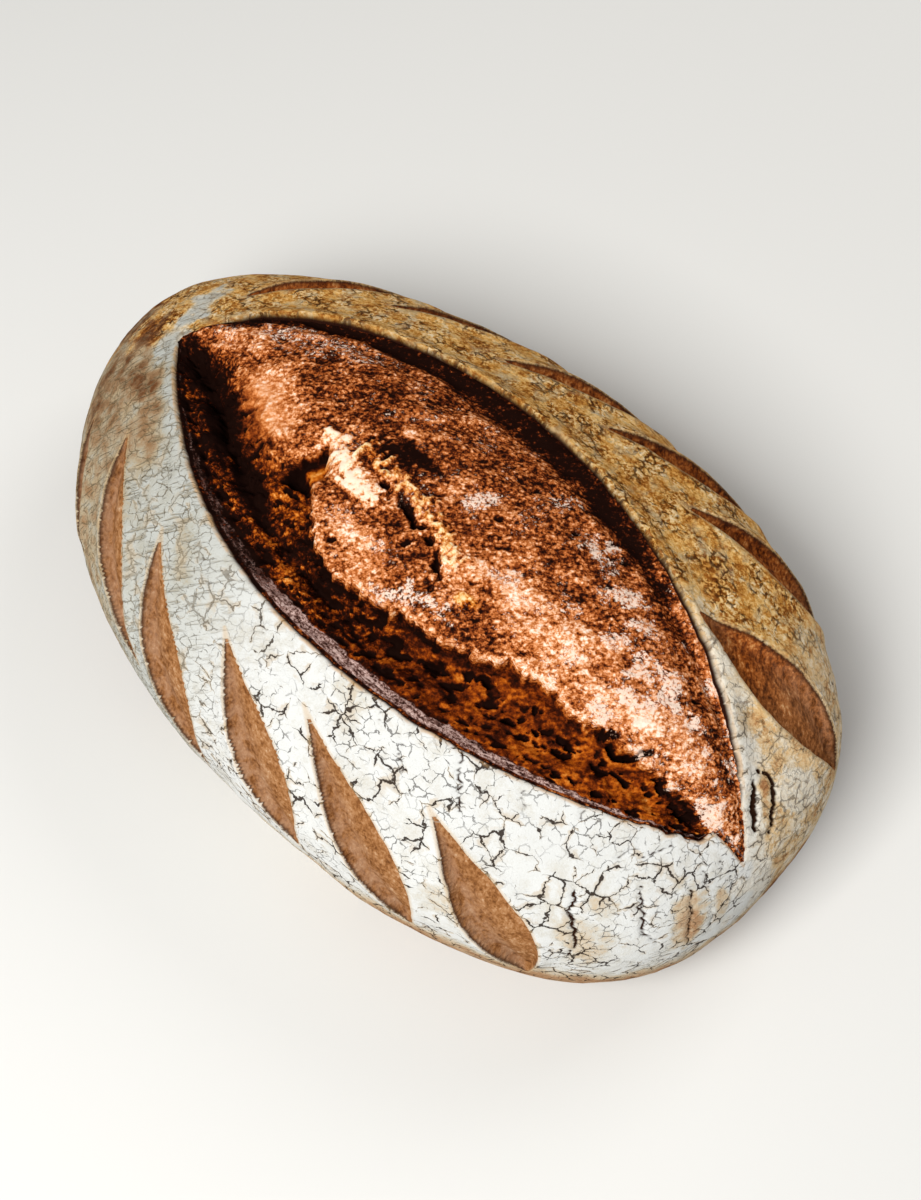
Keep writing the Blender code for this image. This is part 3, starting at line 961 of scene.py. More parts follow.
def above_surroundings(height, rounds):
    """How far each point of the dough's grid stands above the mean of the points around it."""
    rows = height.reshape(DOUGH_CELLS[1] + 1, DOUGH_CELLS[0] + 1)
    mean = rows.copy()
    for _ in range(rounds):
        for axis in (0, 1):
            mean = (np.roll(mean, 1, axis) + mean + np.roll(mean, -1, axis)) / 3
    return (rows - mean).ravel()


def zones_of(u, v, near, far, from_lip):
    """Where the dough is in front, in the dark band, under the near lip and in its speckled part."""
    front = eased((u - 0.020) / 0.05)
    past = (v - across_at(u, DARK_BAND_LINE)) * 1000 + rough(u, v, 2.0, 0.0045, 43.0, 4)
    band = eased((past + 1.5) / 5.5) * (1 - 0.75 * front * eased((past - 3.0) / 2.5))
    full = np.minimum((far - near) / 2 / SPLIT_FULL_HALF_WIDTH, 1)
    dusty_width = 0.0050 * np.maximum(full, 0.45)
    return {
        "front": front, "band": band, "speckled": eased((-0.002 - u) / 0.022),
        "dusty_width": dusty_width, "from_lip": from_lip,
    }


def dough_bake_and_shade(u, v, height, masks, zones):
    """Bake of the dough at each chart place, with painted shade and highlight: 0 for pale, 1 for darkest."""
    front, low, from_lip = zones["front"], masks["low"], zones["from_lip"]
    bake_and_shade = 0.67 - 0.11 * front + rough(u, v, 0.15, 0.010, 41.0, 3)
    for spots, sign in ((PALE_SPOTS, -1), (BURNT_SPOTS, 1)):
        for *place, strength in spots:
            bake_and_shade += sign * strength * eased(1.3 * ellipse(u, v, *place))
    bake_and_shade += zones["band"] * (0.46 - 0.34 * front)
    lower = 0.14 - 0.05 * eased((u - 0.010) / 0.030) + 0.22 * masks["torn"]
    bake_and_shade += low * lower * (1 - masks["slope"])
    for name, change in BAKE_AND_SHADE_CHANGES:
        bake_and_shade += change * masks[name]
    # Painted shadow in the cave: its shadowed side is darkened, the rest made a touch paler.
    bake_and_shade += eased(masks["cave"] * 2) * (0.55 * masks["cave_dark"] - 0.06)
    # Painted shade and highlight: darker where the dough sits below the points around it, paler where it
    # stands above them.
    bake_and_shade -= np.clip(PAINTED_CAVITY_SHADE * above_surroundings(height, PAINTED_SHADE_ROUNDS), -0.35, 0.30) * (1 - 0.6 * low)
    # Painted shadow of the near lip: the dough right under it is darkened, and at the back the strip under
    # the lip is darkened more.
    bake_and_shade += 0.25 * eased(1 - from_lip / 0.0022)
    bake_and_shade += 0.30 * zones["speckled"] * eased((zones["dusty_width"] + 0.001 - from_lip) / 0.001)
    return np.clip(bake_and_shade, -0.2, 1.25)


zones = zones_of(dough_u, dough_v, dough_near, dough_far, dough_parts["from_lip"])
dough_finish = {"bake_and_shade": dough_bake_and_shade(dough_u, dough_v, dough_height, dough_masks, zones)}
print("mean bake of the dough", dough_finish["bake_and_shade"].mean().round(2))

# %% [markdown]
# ## Gold, dust and flour on the dough
#
# Four more numbers go with the bake. Gold says where the tear is yellow rather than rust, dust where
# grey flour from the basket clings under the near lip, flour where white flecks lie, and calm where
# the streaks of the finish are to stay faint.

# %% Gold, dust and flour on the dough
# Spots in millimetres; each ends with how much flour it has.
FLOUR_SPOTS = (
    (6, 5.5, 6.5, 3.5, 45, 0.9), (19, 22.5, 6, 3, 45, 0.7), (24, -3, 6, 3, 45, 0.8),
    (32, 19, 6, 4.5, 45, 1.0), (44, 12.5, 5.5, 3.5, 45, 1.0), (52, 11, 5, 3.5, 45, 0.9),
    (66, 8, 6, 3, 45, 0.8), (31, -6, 9, 4, 45, 0.6), (-45, 18, 14, 6, 30, 0.62),
    (-62, 13, 12, 6, 20, 0.72), (-76, 5, 9, 5, 20, 0.66), (-16, 15, 6, 2.5, 40, 0.5),
    (12, -22.5, 10, 4, 20, 0.9), (-2, -19, 8, 3, 10, 0.6), (-12, -18.5, 7, 3.5, -15, 0.55),
    (55, -9.5, 9, 3, 20, 0.5),
)


def dough_dust(u, v, zones):
    """Grey dust in a ragged strip under the near lip, from 0 to 1."""
    ragged_width = zones["dusty_width"] + rough(u, v, 0.0009, 0.003, 45.0, 3)
    dust = eased((ragged_width - zones["from_lip"]) / DUST_RUN)
    dust *= eased((zones["from_lip"] - DUST_RUN) / 0.0006)
    return dust * (1 - 0.55 * zones["speckled"])


def dough_flour(u, v, climb, masks, zones):
    """White flour on the plateau, in flecks and in spots, from 0 to 1."""
    flecks = eased((uneven(u, v, 0.0070, 49.0, octaves=4) + 0.05) / 0.45)
    flour = climb * (0.42 * zones["front"] + 0.62 * flecks * (0.7 + 0.3 * zones["front"]))
    for *place, strength in FLOUR_SPOTS:
        inside = spot(u, v, *place, rag=0.9, size=0.0030)
        flour = np.maximum(flour, strength * eased(0.8 * inside + 0.30))
    flour = np.maximum(flour * (1 - 0.4 * masks["char"]), 0.45 * masks["ridge"])
    flour = flour * (1 - masks["cave"]) * (1 - 0.85 * zones["band"]) * (1 - masks["low"])
    return np.maximum(flour, 0.80 * masks["rim"])


def dough_gold(masks):
    """How golden the tear is, from 0 to 1."""
    gold = 0.9 * masks["low"] + 0.4 * masks["rim"] + 0.9 * masks["ridge"] + masks["crumbs"] + masks["cave"]
    return np.clip(gold, 0, 1) * (1 - 0.5 * masks["slope"])


def dough_calm(u, height, masks):
    """How faint the finish's streaks are to be, from 0 to 1."""
    calm = masks["cave"] + 0.85 * masks["slope"] + 0.20 * eased(-height / 0.007)
    return np.clip(calm + masks["low"] * (0.25 + 0.45 * eased(u / 0.03)), 0, 1)


dough_finish["gold"] = dough_gold(dough_masks)
dough_finish["dust"] = dough_dust(dough_u, dough_v, zones)
dough_finish["flour"] = dough_flour(dough_u, dough_v, dough_parts["climb"], dough_masks, zones)
dough_finish["calm"] = dough_calm(dough_u, dough_height, dough_masks)
print("means:", {name: float(values.mean().round(2)) for name, values in dough_finish.items()})

# %% [markdown]
# ## Closing the dough piece
#
# A piece has to be closed, with no open edge. So the grid's rim is extruded into a wall, the wall's
# lower edge is filled with one face, and only then is every point lifted onto the body. Points of
# the wall take the height of the nearest grid point, less a skirt that stays hidden in the loaf.

# %% Close the dough piece
DOUGH_SKIRT = 0.012
for vert, u, v in zip(bm.verts, dough_u, dough_v):
    vert.co = (u, v, 0.0)
rim = [edge for edge in bm.edges if edge.is_boundary]
walls = bmesh.ops.extrude_edge_only(bm, edges=rim)["geom"]
for vert in walls:
    if isinstance(vert, bmesh.types.BMVert):
        vert.co.z = 1.0
bmesh.ops.edgeloop_fill(bm, edges=[edge for edge in bm.edges if edge.is_boundary])
bm.verts.index_update()
dough = piece_from(bm, "torn_dough")
count = len(dough_u)
flat = coordinates(dough.data)
under = kdtree.KDTree(count)
for index, (u, v) in enumerate(zip(dough_u, dough_v)):
    under.insert((u, v, 0.0), index)
under.balance()
above = np.arange(len(flat))
above[count:] = [under.find((u, v, 0.0))[1] for u, v in flat[count:, :2]]
all_height = dough_height[above]
all_height[count:] -= DOUGH_SKIRT
move_to(dough.data, held_inside(lifted(flat[:, 0], flat[:, 1], all_height)))
print("the dough's wall has", len(flat) - count, "points")

# %% [markdown]
# ## Handing the numbers to the finishes
#
# A finish can only read what its mesh stores. Each number becomes an attribute on the mesh, and the
# chart place goes with it, so that patterns follow the crust.

# %% Store the numbers
for name, values in dough_finish.items():
    give_attribute(dough.data, name, values[above])
give_chart(dough.data, flat[:, 0], dough_parts["from_lip"][above], "lip_chart")
for name, scale in (("lip", 1000), ("inset", 1000), ("place", 1), ("crack", 1)):
    give_attribute(skin.data, name, skin_fields[name] * scale)
give_chart(skin.data, skin_u, skin_v)


def face_outwards(piece):
    """Point all faces of a closed piece outwards."""
    bm = bmesh.new()
    bm.from_mesh(piece.data)
    bmesh.ops.recalc_face_normals(bm, faces=bm.faces)
    litres = round(bm.calc_volume(signed=True) * 1000, 3)
    print(piece.name, "holds", litres, "litres and has", len(bm.faces), "faces")
    bm.to_mesh(piece.data)
    bm.free()


face_outwards(skin)
face_outwards(dough)

# %% [markdown]
# ## Where the flour lies
#
# The skin was dusted in its basket. On the near side the flour is thick and white, on the far side
# it is thinner and cream, partly its own colour and partly painted warm shade, and at the back end
# it is worn through.
# Again one number per point says how much is left.

# %% Flour cover of the skin
# Spots in millimetres; each ends with how much it changes the flour.
BARE_SPOTS = (
    (-112, -30, 24, 16, -40, 0.3), (-108, -6, 10, 12, 0, 0.35), (-74, -33, 20, 6, -40, 0.3),
    (-92, -22, 14, 8, 0, 0.35), (-135, 0, 22, 16, 0, 0.45), (72, -80, 10, 10, 0, 0.3),
    (108, -60, 22, 9, -20, 0.38), (128, -34, 24, 9, -26, 0.62), (110, 8, 10, 3, -30, 0.5),
    (112, 32, 16, 12, 0, 0.1), (134, -22, 14, 5, -20, 0.4), (98, -46, 8, 6, 0, 0.3),
    (18, -50, 12, 6, -60, 0.2), (-38, -52, 14, 5, -60, 0.25), (90, 16, 14, 6, 10, 0.3),
)
WHITE_SPOTS = (
    (-93, -5, 16, 5.5, 96, 0.9), (-98.5, 12, 14, 6.5, 114, 0.9), (-102, -78, 20, 14, -60, 0.5),
    (112, -2, 12, 7, -20, 0.5), (78, 13, 12, 5, -30, 0.4), (122, 20, 16, 10, 30, 0.6),
    (140, -10, 12, 14, 0, 0.3), (66, 24, 12, 4, -30, 0.3),
)
BACK_SPOTS = WHITE_SPOTS[:2]


def skin_sides(u, v, near, far):
    """How much each chart place belongs to the far side: a soft border runs on past the split's tips."""
    past_tips = np.maximum(np.maximum(FAR_LIP[0][0] - u, u - FAR_LIP[1][0]), 0)
    blend = 0.006 + 0.9 * past_tips
    return eased((v - (near + far) / 2) / blend + 0.5 + uneven(u, v, 0.012, 53.0, octaves=3))


def flour_cover(u, v):
    """How white the skin is at chart places: 1 for thick flour, 0 for bare crust."""
    near, far = lips_across(u)
    far_side = skin_sides(u, v, near, far)
    cover = 1.0 - 0.50 * far_side
    ragged = uneven(u, v, 0.0050, 55.0, octaves=4)
    worn = eased((-u - 0.046) / 0.040) * (1 - far_side)
    strip = eased(1.5 - (near - v) / 0.0045) * (v < near) * (u > -0.092)
    cover -= 0.50 * worn * (1 - 0.8 * strip)
    cover += 0.26 * worn * uneven(u, v, 0.0055, 57.0, octaves=4)
    for spots, sign in ((BARE_SPOTS, -1), (WHITE_SPOTS, 1)):
        for *place, strength in spots:
            cover += sign * strength * eased((ellipse(u, v, *place) + 0.45 * ragged) * 1.4)
    tilt = np.hypot(u / CHART_LENGTH, v / CHART_WIDTH)
    front = eased(u / 0.1)
    cover -= (0.35 + 0.35 * front) * eased((tilt - 1.04 + 0.07 * front) / 0.14)
    beside_lip = far_side * eased((u - 0.045) / 0.03) * eased(1.4 - (v - far) / 0.009)
    cover += 0.45 * beside_lip
    for *place, _ in BACK_SPOTS:
        far_side = far_side * (1 - 0.8 * eased(1.4 * (ellipse(u, v, *place) + 0.9 * ragged)))
    far_front = far_side * eased((u - 0.070) / 0.030)
    cover += 0.20 * far_front + 0.20 * far_front * uneven(u, v, 0.0060, 59.0, octaves=4)
    far_side = far_side * (1 - 0.5 * beside_lip) * (1 - 0.5 * far_front)
    return np.clip(cover + rough(u, v, 0.14, 0.012, 51.0, 4), 0, 1), far_side


skin_flour, skin_far = flour_cover(skin_u, skin_v)
give_attribute(skin.data, "flour", skin_flour)
give_attribute(skin.data, "far_side", skin_far)
give_attribute(skin.data, "crisp", eased((skin_u + 0.050) / 0.060))
print("mean flour cover", skin_flour.mean().round(2))

# %% [markdown]
# ## Building finishes
#
# A finish is a tree of nodes. These helpers add one node at a time: every value given is either a
# number, which is set on the node's own socket, or another node's output, which is linked.

# %% Node helpers


def srgb(red, green, blue):
    """A colour in linear light from the 0 to 255 values of a colour picker."""
    channels = [c / 255 for c in (red, green, blue)]
    return tuple(c / 12.92 if c <= 0.04045 else ((c + 0.055) / 1.055) ** 2.4 for c in channels) + (1.0,)


def add(tree, kind, inputs=(), **settings):
    """Add a node, set or link its inputs by name or number, and return it."""
    made = tree.nodes.new("ShaderNode" + kind)
    for name, value in settings.items():
        setattr(made, name, value)
    for name, value in dict(inputs).items():
        if isinstance(value, bpy.types.NodeSocket):
            tree.links.new(value, made.inputs[name])
        else:
            made.inputs[name].default_value = value
    return made


def math_of(tree, operation, first, second=0.0, clamp=False):
    """The result of one sum on values or outputs."""
    return add(tree, "Math", {0: first, 1: second}, operation=operation, use_clamp=clamp).outputs[0]


def times(tree, first, *others):
    """Values multiplied together."""
    for other in others:
        first = math_of(tree, "MULTIPLY", first, other)
    return first


def plus(tree, first, *others, clamp=False):
    """Values added together, with the last sum held from 0 to 1 if asked."""
    for index, other in enumerate(others, 1):
        first = math_of(tree, "ADD", first, other, clamp and index == len(others))
    return first


def swung(tree, value, strength):
    """A value from 0 to 1 turned into a swing either way, so strong."""
    return times(tree, math_of(tree, "SUBTRACT", value, 0.5), strength)


def left_of(tree, value, share=1.0):
    """What a share of a value leaves of 1."""
    return math_of(tree, "SUBTRACT", 1.0, times(tree, value, share))


def vector_of(tree, operation, first, second):
    """The result of one sum on vectors, or on a vector and the number that scales it."""
    place = "Scale" if operation == "SCALE" else 1
    return add(tree, "VectorMath", {0: first, place: second}, operation=operation).outputs[0]


print("middle grey in linear light:", [round(c, 3) for c in srgb(128, 128, 128)[:3]])

# %% [markdown]
# ## Ramps, mixes and steps
#
# Three more helpers turn a number into a colour, lay one colour over another, and ease a number from
# one range to another. Most of both finishes is made of these three.

# %% Ramps, mixes and steps
NODE_STEPS = ("From Min", "From Max", "To Min", "To Max")


def ramp_of(tree, value, stops):
    """A colour ramp through stops of a place, red, green and blue."""
    made = add(tree, "ValToRGB", {"Fac": value})
    while len(made.color_ramp.elements) < len(stops):
        made.color_ramp.elements.new(1.0)
    for element, (place, *colour) in zip(made.color_ramp.elements, stops):
        element.position = place
        element.color = srgb(*colour)
    return made.outputs["Color"]


def mix_of(tree, factor, first, second, blend="MIX"):
    """Two colours mixed by a factor."""
    inputs = {0: factor, 6: first, 7: second}
    return add(tree, "Mix", inputs, data_type="RGBA", blend_type=blend).outputs[2]


def step_of(tree, value, *limits):
    """A value eased from one range to another, from 0 to 1 if not given, and held inside it."""
    inputs = {"Value": value, **dict(zip(NODE_STEPS, limits))}
    return add(tree, "MapRange", inputs, interpolation_type="SMOOTHSTEP").outputs["Result"]


print("a step takes up to", len(NODE_STEPS), "limits")

# %% [markdown]
# ## What the patterns follow
#
# A pattern needs a place to start from. The chart place runs along the crust like a printed cloth,
# but it stretches on steep walls, so grains and bubbles take the place on the loaf instead. Both are
# in millimetres, so that the size of a pattern is the size of its lumps on the real loaf.

# %% Places and noise


def stored(tree, name):
    """A number stored on the mesh."""
    return add(tree, "Attribute", attribute_name=name).outputs["Fac"]


def chart_vector(tree, name="chart"):
    """The chart place in millimetres."""
    return add(tree, "Attribute", attribute_name=name).outputs["Vector"]


def body_vector(tree):
    """The place on the loaf in millimetres, for patterns that must not stretch down a steep wall."""
    return vector_of(tree, "SCALE", add(tree, "TexCoord").outputs["Object"], 1000.0)


def noise_of(tree, vector, per_mm, detail=2.0, roughness=0.5, distortion=0.0):
    """Noise from 0 to 1 with so many lumps to the millimetre."""
    inputs = {"Vector": vector, "Scale": per_mm, "Detail": detail, "Roughness": roughness}
    return add(tree, "TexNoise", {**inputs, "Distortion": distortion}).outputs["Fac"]


def new_finish(name):
    """An empty material with its main shader."""
    material = bpy.data.materials.new(name)
    material.use_nodes = True
    shader = next(made for made in material.node_tree.nodes if made.type == "BSDF_PRINCIPLED")
    return material, material.node_tree, shader


def finished(piece, material, shader, colour, roughness, specular, bump_inputs):
    """Give a piece its finish: a colour, how rough and shiny it is, and a bump."""
    tree = material.node_tree
    tree.links.new(colour, shader.inputs["Base Color"])
    tree.links.new(add(tree, "Bump", bump_inputs).outputs[0], shader.inputs["Normal"])
    shader.inputs["Roughness"].default_value = roughness
    shader.inputs["Specular IOR Level"].default_value = specular
    piece.data.materials.append(material)
    print(piece.name, "has a finish of", len(tree.nodes), "nodes")


print("numbers on the skin:", ", ".join(item.name for item in skin.data.attributes if not item.is_internal))

# %% [markdown]
# ## Streaks
#
# Both the dough and the slash floors show short streaks where the blade and the oven pulled them.
# The same node group draws them in each finish: noise squeezed across the streaks' direction.

# %% Streak group


def new_group(name, inputs, outputs):
    """An empty node group, with its sockets and the nodes that stand for them inside."""
    group = bpy.data.node_groups.new(name, "ShaderNodeTree")
    for socket, kind in inputs:
        group.interface.new_socket(socket, in_out="INPUT", socket_type="NodeSocket" + kind)
    for socket in outputs:
        group.interface.new_socket(socket, in_out="OUTPUT", socket_type="NodeSocketFloat")
    return group, group.nodes.new("NodeGroupInput").outputs, group.nodes.new("NodeGroupOutput").inputs


def group_in(tree, group, inputs):
    """The outputs of a node group used in a tree, with its inputs set or linked."""
    made = tree.nodes.new("ShaderNodeGroup")
    made.node_tree = group
    for name, value in inputs.items():
        if isinstance(value, bpy.types.NodeSocket):
            tree.links.new(value, made.inputs[name])
        else:
            made.inputs[name].default_value = value
    return made.outputs


streaks, given, results = new_group(
    "pulled streaks", (("Place", "Vector"), ("Angle", "Vector"), ("Stretch", "Vector")), ("Streak", "Lump"))
turn_inputs = {"Vector": given["Place"], "Rotation": given["Angle"]}
turned_place = add(streaks, "VectorRotate", turn_inputs, rotation_type="EULER_XYZ", invert=True).outputs[0]
squeezed = vector_of(streaks, "MULTIPLY", turned_place, given["Stretch"])
streaks.links.new(noise_of(streaks, squeezed, 1.0, 3.0, 0.62, 0.35), results["Streak"])
streaks.links.new(noise_of(streaks, squeezed, 0.28, 3.0, 0.6, 0.5), results["Lump"])


def streaks_in(tree, place, degrees, length, width):
    """Streaks of a length and width in millimetres, turned by an angle."""
    angle = (0.0, 0.0, math.radians(degrees))
    stretch = (1.0 / length, 1.0 / width, 1.0 / width)
    made = group_in(tree, streaks, {"Place": place, "Angle": angle, "Stretch": stretch})
    return made["Streak"], made["Lump"]


print("streak group has", len(streaks.nodes), "nodes")

# %% [markdown]
# ## Colour of the torn dough
#
# Where dough tears it bakes unevenly: pink and cream where it stayed soft, rust brown where it
# caught the heat, almost black on its edges. A photo of real crust could be laid over it, but would
# only suit one loaf. Here the bake number, which also holds painted shade and highlight, picks a
# colour from a ramp, and streaks, clots, fine grains and bent bubbles push it up and down, less so
# where the dough is calm.

# %% Colour of the torn dough
RUST = (
    (0.00, 240, 222, 206), (0.18, 231, 186, 154), (0.36, 210, 138, 86), (0.52, 172, 94, 42),
    (0.68, 120, 54, 20), (0.82, 64, 24, 9), (1.00, 21, 7, 4),
)
GOLD = (
    (0.00, 238, 212, 166), (0.20, 226, 182, 116), (0.38, 204, 126, 44), (0.54, 170, 84, 12),
    (0.68, 112, 44, 7), (0.82, 56, 18, 5), (1.00, 20, 7, 4),
)
STREAK_SIZE = (1.3, 0.85)
dough_finish_material, tree, shader = new_finish("torn dough")
on_loaf = body_vector(tree)
gold = stored(tree, "gold")
streak, lump = streaks_in(tree, on_loaf, GRAIN_DEGREES, *STREAK_SIZE)
clots = noise_of(tree, on_loaf, 0.60, 5.0, 0.70, 0.2)
fine = noise_of(tree, on_loaf, 1.7, 4.0, 0.78)
bent = times(tree, fine, 0.9)
bent = add(tree, "CombineXYZ", {"X": bent, "Y": bent, "Z": bent}).outputs[0]
bubbles = add(tree, "TexVoronoi", {"Vector": vector_of(tree, "ADD", on_loaf, bent), "Scale": 0.72})
flecked = step_of(tree, streak, 0.39, 0.61)
clotted = step_of(tree, clots, 0.38, 0.62)
flecked = step_of(tree, math_of(tree, "MAXIMUM", gold, 0.42), 0.0, 1.0, flecked, clotted)
swing = plus(
    tree, swung(tree, flecked, 0.42), swung(tree, lump, 0.80),
    swung(tree, step_of(tree, fine, 0.38, 0.62), 0.24),
    swung(tree, step_of(tree, bubbles.outputs["Distance"], 0.15, 0.75), 0.26),
)
swing = times(tree, swing, step_of(tree, stored(tree, "calm"), 0.0, 1.0, 1.0, 0.3))
# The stored number is the bake together with its painted shade and painted highlight.
baked_and_shaded = plus(tree, stored(tree, "bake_and_shade"), swing, clamp=True)
colour = mix_of(tree, gold, ramp_of(tree, baked_and_shaded, RUST), ramp_of(tree, baked_and_shaded, GOLD))
print("the dough's colour takes", len(tree.nodes), "nodes")

# %% [markdown]
# ## Dust and flour on the dough
#
# Grey dust from the basket clings under the near lip in short streaks, and white flour lies in
# grains. Both are mixed over the baked colour where their numbers and a grainy noise agree.

# %% Dust and flour on the dough
DUST = ((0.0, 206, 180, 172), (0.35, 158, 128, 120), (0.65, 98, 66, 58), (1.0, 30, 14, 10))
THIN_FLOUR = srgb(222, 160, 124)
THICK_FLOUR = srgb(244, 226, 210)
lip_streak, _ = streaks_in(tree, chart_vector(tree, "lip_chart"), 0, 3.0, 0.8)
lip_grains = noise_of(tree, on_loaf, 1.2, 5.0, 0.75)
dusty = plus(tree, times(tree, lip_streak, 0.4), times(tree, lip_grains, 0.6))
dusty = step_of(tree, dusty, 0.38, 0.62)
dusted = step_of(tree, plus(tree, stored(tree, "dust"), swung(tree, lip_grains, 1.6)), 0.42, 0.62)
colour = mix_of(tree, dusted, colour, ramp_of(tree, dusty, DUST))
grains = noise_of(tree, on_loaf, 1.1, 5.0, 0.78)
grains = step_of(tree, plus(tree, times(tree, grains, 0.6), times(tree, streak, 0.4)), 0.40, 0.64)
floury = plus(tree, times(tree, stored(tree, "flour"), 0.72), times(tree, grains, 0.6))
floury = step_of(tree, floury, 0.72, 0.92, 0.0, 0.82)
colour = mix_of(tree, floury, colour, mix_of(tree, floury, THIN_FLOUR, THICK_FLOUR))
height = plus(tree, times(tree, flecked, 0.5), times(tree, fine, 0.6))
bump = {"Height": height, "Strength": 0.5, "Distance": 0.00025}
finished(dough, dough_finish_material, shader, colour, 0.80, 0.02, bump)

# %% [markdown]
# ## Crackle
#
# Rice flour dries on the skin as a white coat, and the coat cracks into plates as the loaf swells.
# Cells around scattered points crack in just that way, so a group draws their edges, bent by noise
# and of uneven width. The near side takes large plates with small ones between them, the far side
# small dark ones.

# %% Crackle group
CRACKLE_INPUTS = (("Chart", "Vector"), ("Size", "Float"), ("Width", "Float"), ("Seed", "Float"))
crackle, given, results = new_group("dry crackle", CRACKLE_INPUTS, ("Crack",))
per_mm = math_of(crackle, "DIVIDE", 1.0, given["Size"])
seed = add(crackle, "CombineXYZ", {"X": given["Seed"], "Z": given["Seed"]}).outputs[0]
seeded = vector_of(crackle, "ADD", vector_of(crackle, "SCALE", given["Chart"], per_mm), seed)
warp = add(crackle, "TexNoise", {"Vector": seeded, "Scale": 1.7, "Detail": 3.0, "Roughness": 0.6})
warp = vector_of(crackle, "SUBTRACT", warp.outputs["Color"], (0.5, 0.5, 0.5))
warp = vector_of(crackle, "SCALE", warp, 0.75)
cells = {"Vector": vector_of(crackle, "ADD", seeded, warp), "Scale": 1.0}
to_edge = add(crackle, "TexVoronoi", cells, feature="DISTANCE_TO_EDGE", voronoi_dimensions="2D")
taper = noise_of(crackle, seeded, 0.9)
wide = times(crackle, given["Width"], step_of(crackle, taper, 0.42, 0.64))
wide = plus(crackle, math_of(crackle, "DIVIDE", wide, given["Size"]), 0.0001)
across = math_of(crackle, "DIVIDE", to_edge.outputs["Distance"], wide)
depth = math_of(crackle, "SUBTRACT", 1.0, across, clamp=True)
crackle.links.new(step_of(crackle, depth, 0.0, 0.55), results["Crack"])


def crackle_in(tree, size_mm, width_mm, seed):
    """Cracks around plates of a size, with a width, from 0 to 1 at their middle."""
    inputs = {"Chart": chart_vector(tree), "Size": size_mm, "Width": width_mm, "Seed": seed}
    return group_in(tree, crackle, inputs)["Crack"]


print("crackle group has", len(crackle.nodes), "nodes")

# %% [markdown]
# ## Flour coat of the skin
#
# The flour number picks the skin's colour, from bare brown crust to white. Patches, grains and
# specks of noise make the coat thinner and thicker. Where it isn't crisp, at the near back, it is
# also darkened by painted shade.

# %% Flour coat
NEAR_SKIN = (
    (0.0, 118, 74, 44), (0.30, 166, 130, 96), (0.55, 190, 172, 146), (0.78, 192, 189, 180),
    (1.0, 206, 207, 205),
)
# The far side's ramp is darker and warmer than the near one: partly the crust's own colour, partly painted
# warm shade.
FAR_SKIN_AND_SHADE = (
    (0.0, 92, 46, 12), (0.26, 148, 86, 28), (0.44, 196, 138, 62), (0.64, 226, 184, 114), (1.0, 238, 222, 192),
)
skin_finish_material, tree, shader = new_finish("floured skin")
flour, far_side, lip, inset, place, crisp, crack = (
    stored(tree, name) for name in ("flour", "far_side", "lip", "inset", "place", "crisp", "crack"))
not_crisp, near_side = left_of(tree, crisp), left_of(tree, far_side)
on_loaf = body_vector(tree)
speckle = noise_of(tree, on_loaf, 1.6, 4.0, 0.7)
patches = noise_of(tree, on_loaf, 0.16, 4.0, 0.6)
rough_places = step_of(tree, noise_of(tree, on_loaf, 0.13, 3.0, 0.6), 0.36, 0.62)
granules = step_of(tree, noise_of(tree, on_loaf, 0.75, 5.0, 0.72), 0.40, 0.60)
grainy = times(tree, step_of(tree, rough_places, 0.0, 1.0, 0.22, 0.55), far_side)
granules = swung(tree, granules, grainy)
patchy = swung(tree, patches, step_of(tree, far_side, 0.0, 1.0, 0.7, 1.1))
thin = plus(tree, flour, patchy, granules, swung(tree, speckle, 0.45), clamp=True)
skin_colour = mix_of(tree, far_side, ramp_of(tree, thin, NEAR_SKIN), ramp_of(tree, thin, FAR_SKIN_AND_SHADE))
# Painted shade: the near back of the skin, where it isn't crisp, is darkened.
painted_shade_near_back = step_of(tree, crisp, 1.0, 0.0, 0.0, times(tree, near_side, 0.9))
skin_colour = mix_of(tree, painted_shade_near_back, skin_colour, srgb(214, 215, 210), "MULTIPLY")
print("the flour coat takes", len(tree.nodes), "nodes")

# %% [markdown]
# ## Cracks and wrinkles of the skin
#
# Three kinds of plates and the wrinkles at the near back are masks from 0 to 1. The large cracks
# also have a wide halo, because the crust shows through thin flour beside them.

# %% Cracks and wrinkles
# Each row has the plates' size and the cracks' width in millimetres, and a number that shifts them.
LARGE_PLATES = (6.2, 0.44, 3.0)
LARGE_HALO = (6.2, 2.2, 3.0)
SMALL_PLATES = (3.0, 0.22, 11.0)
PEBBLES = (2.9, 0.60, 23.0)
WRINKLES = (44, 7.0, 1.2)
large, halo, small, pebbles = (
    crackle_in(tree, *plates) for plates in (LARGE_PLATES, LARGE_HALO, SMALL_PLATES, PEBBLES))
wrinkle, _ = streaks_in(tree, chart_vector(tree), *WRINKLES)
wrinkled = times(tree, step_of(tree, wrinkle, 0.53, 0.66), not_crisp, near_side)
regions = step_of(tree, noise_of(tree, chart_vector(tree), 0.05, 2.0), 0.40, 0.60)
regions = math_of(tree, "MAXIMUM", regions, not_crisp)
large = times(tree, large, step_of(tree, crisp, 0.0, 1.0, 0.45, 1.0))
net = math_of(tree, "MAXIMUM", large, times(tree, small, regions, 0.7))
net = times(tree, net, left_of(tree, far_side, 0.8))
pebbled = times(tree, pebbles, far_side, step_of(tree, rough_places, 0.0, 1.0, 0.25, 1.0))
halo = times(tree, halo, step_of(tree, patches, 0.40, 0.62), 0.5)
crack_colour = mix_of(tree, crisp, srgb(104, 90, 64), srgb(36, 22, 12))
print("with its cracks it takes", len(tree.nodes), "nodes")

# %% [markdown]
# ## Slash floors
#
# The floor of a slash is bare dough, streaked by the blade, with a little dust at its back half and
# a painted shadow along its back edge, under the step.

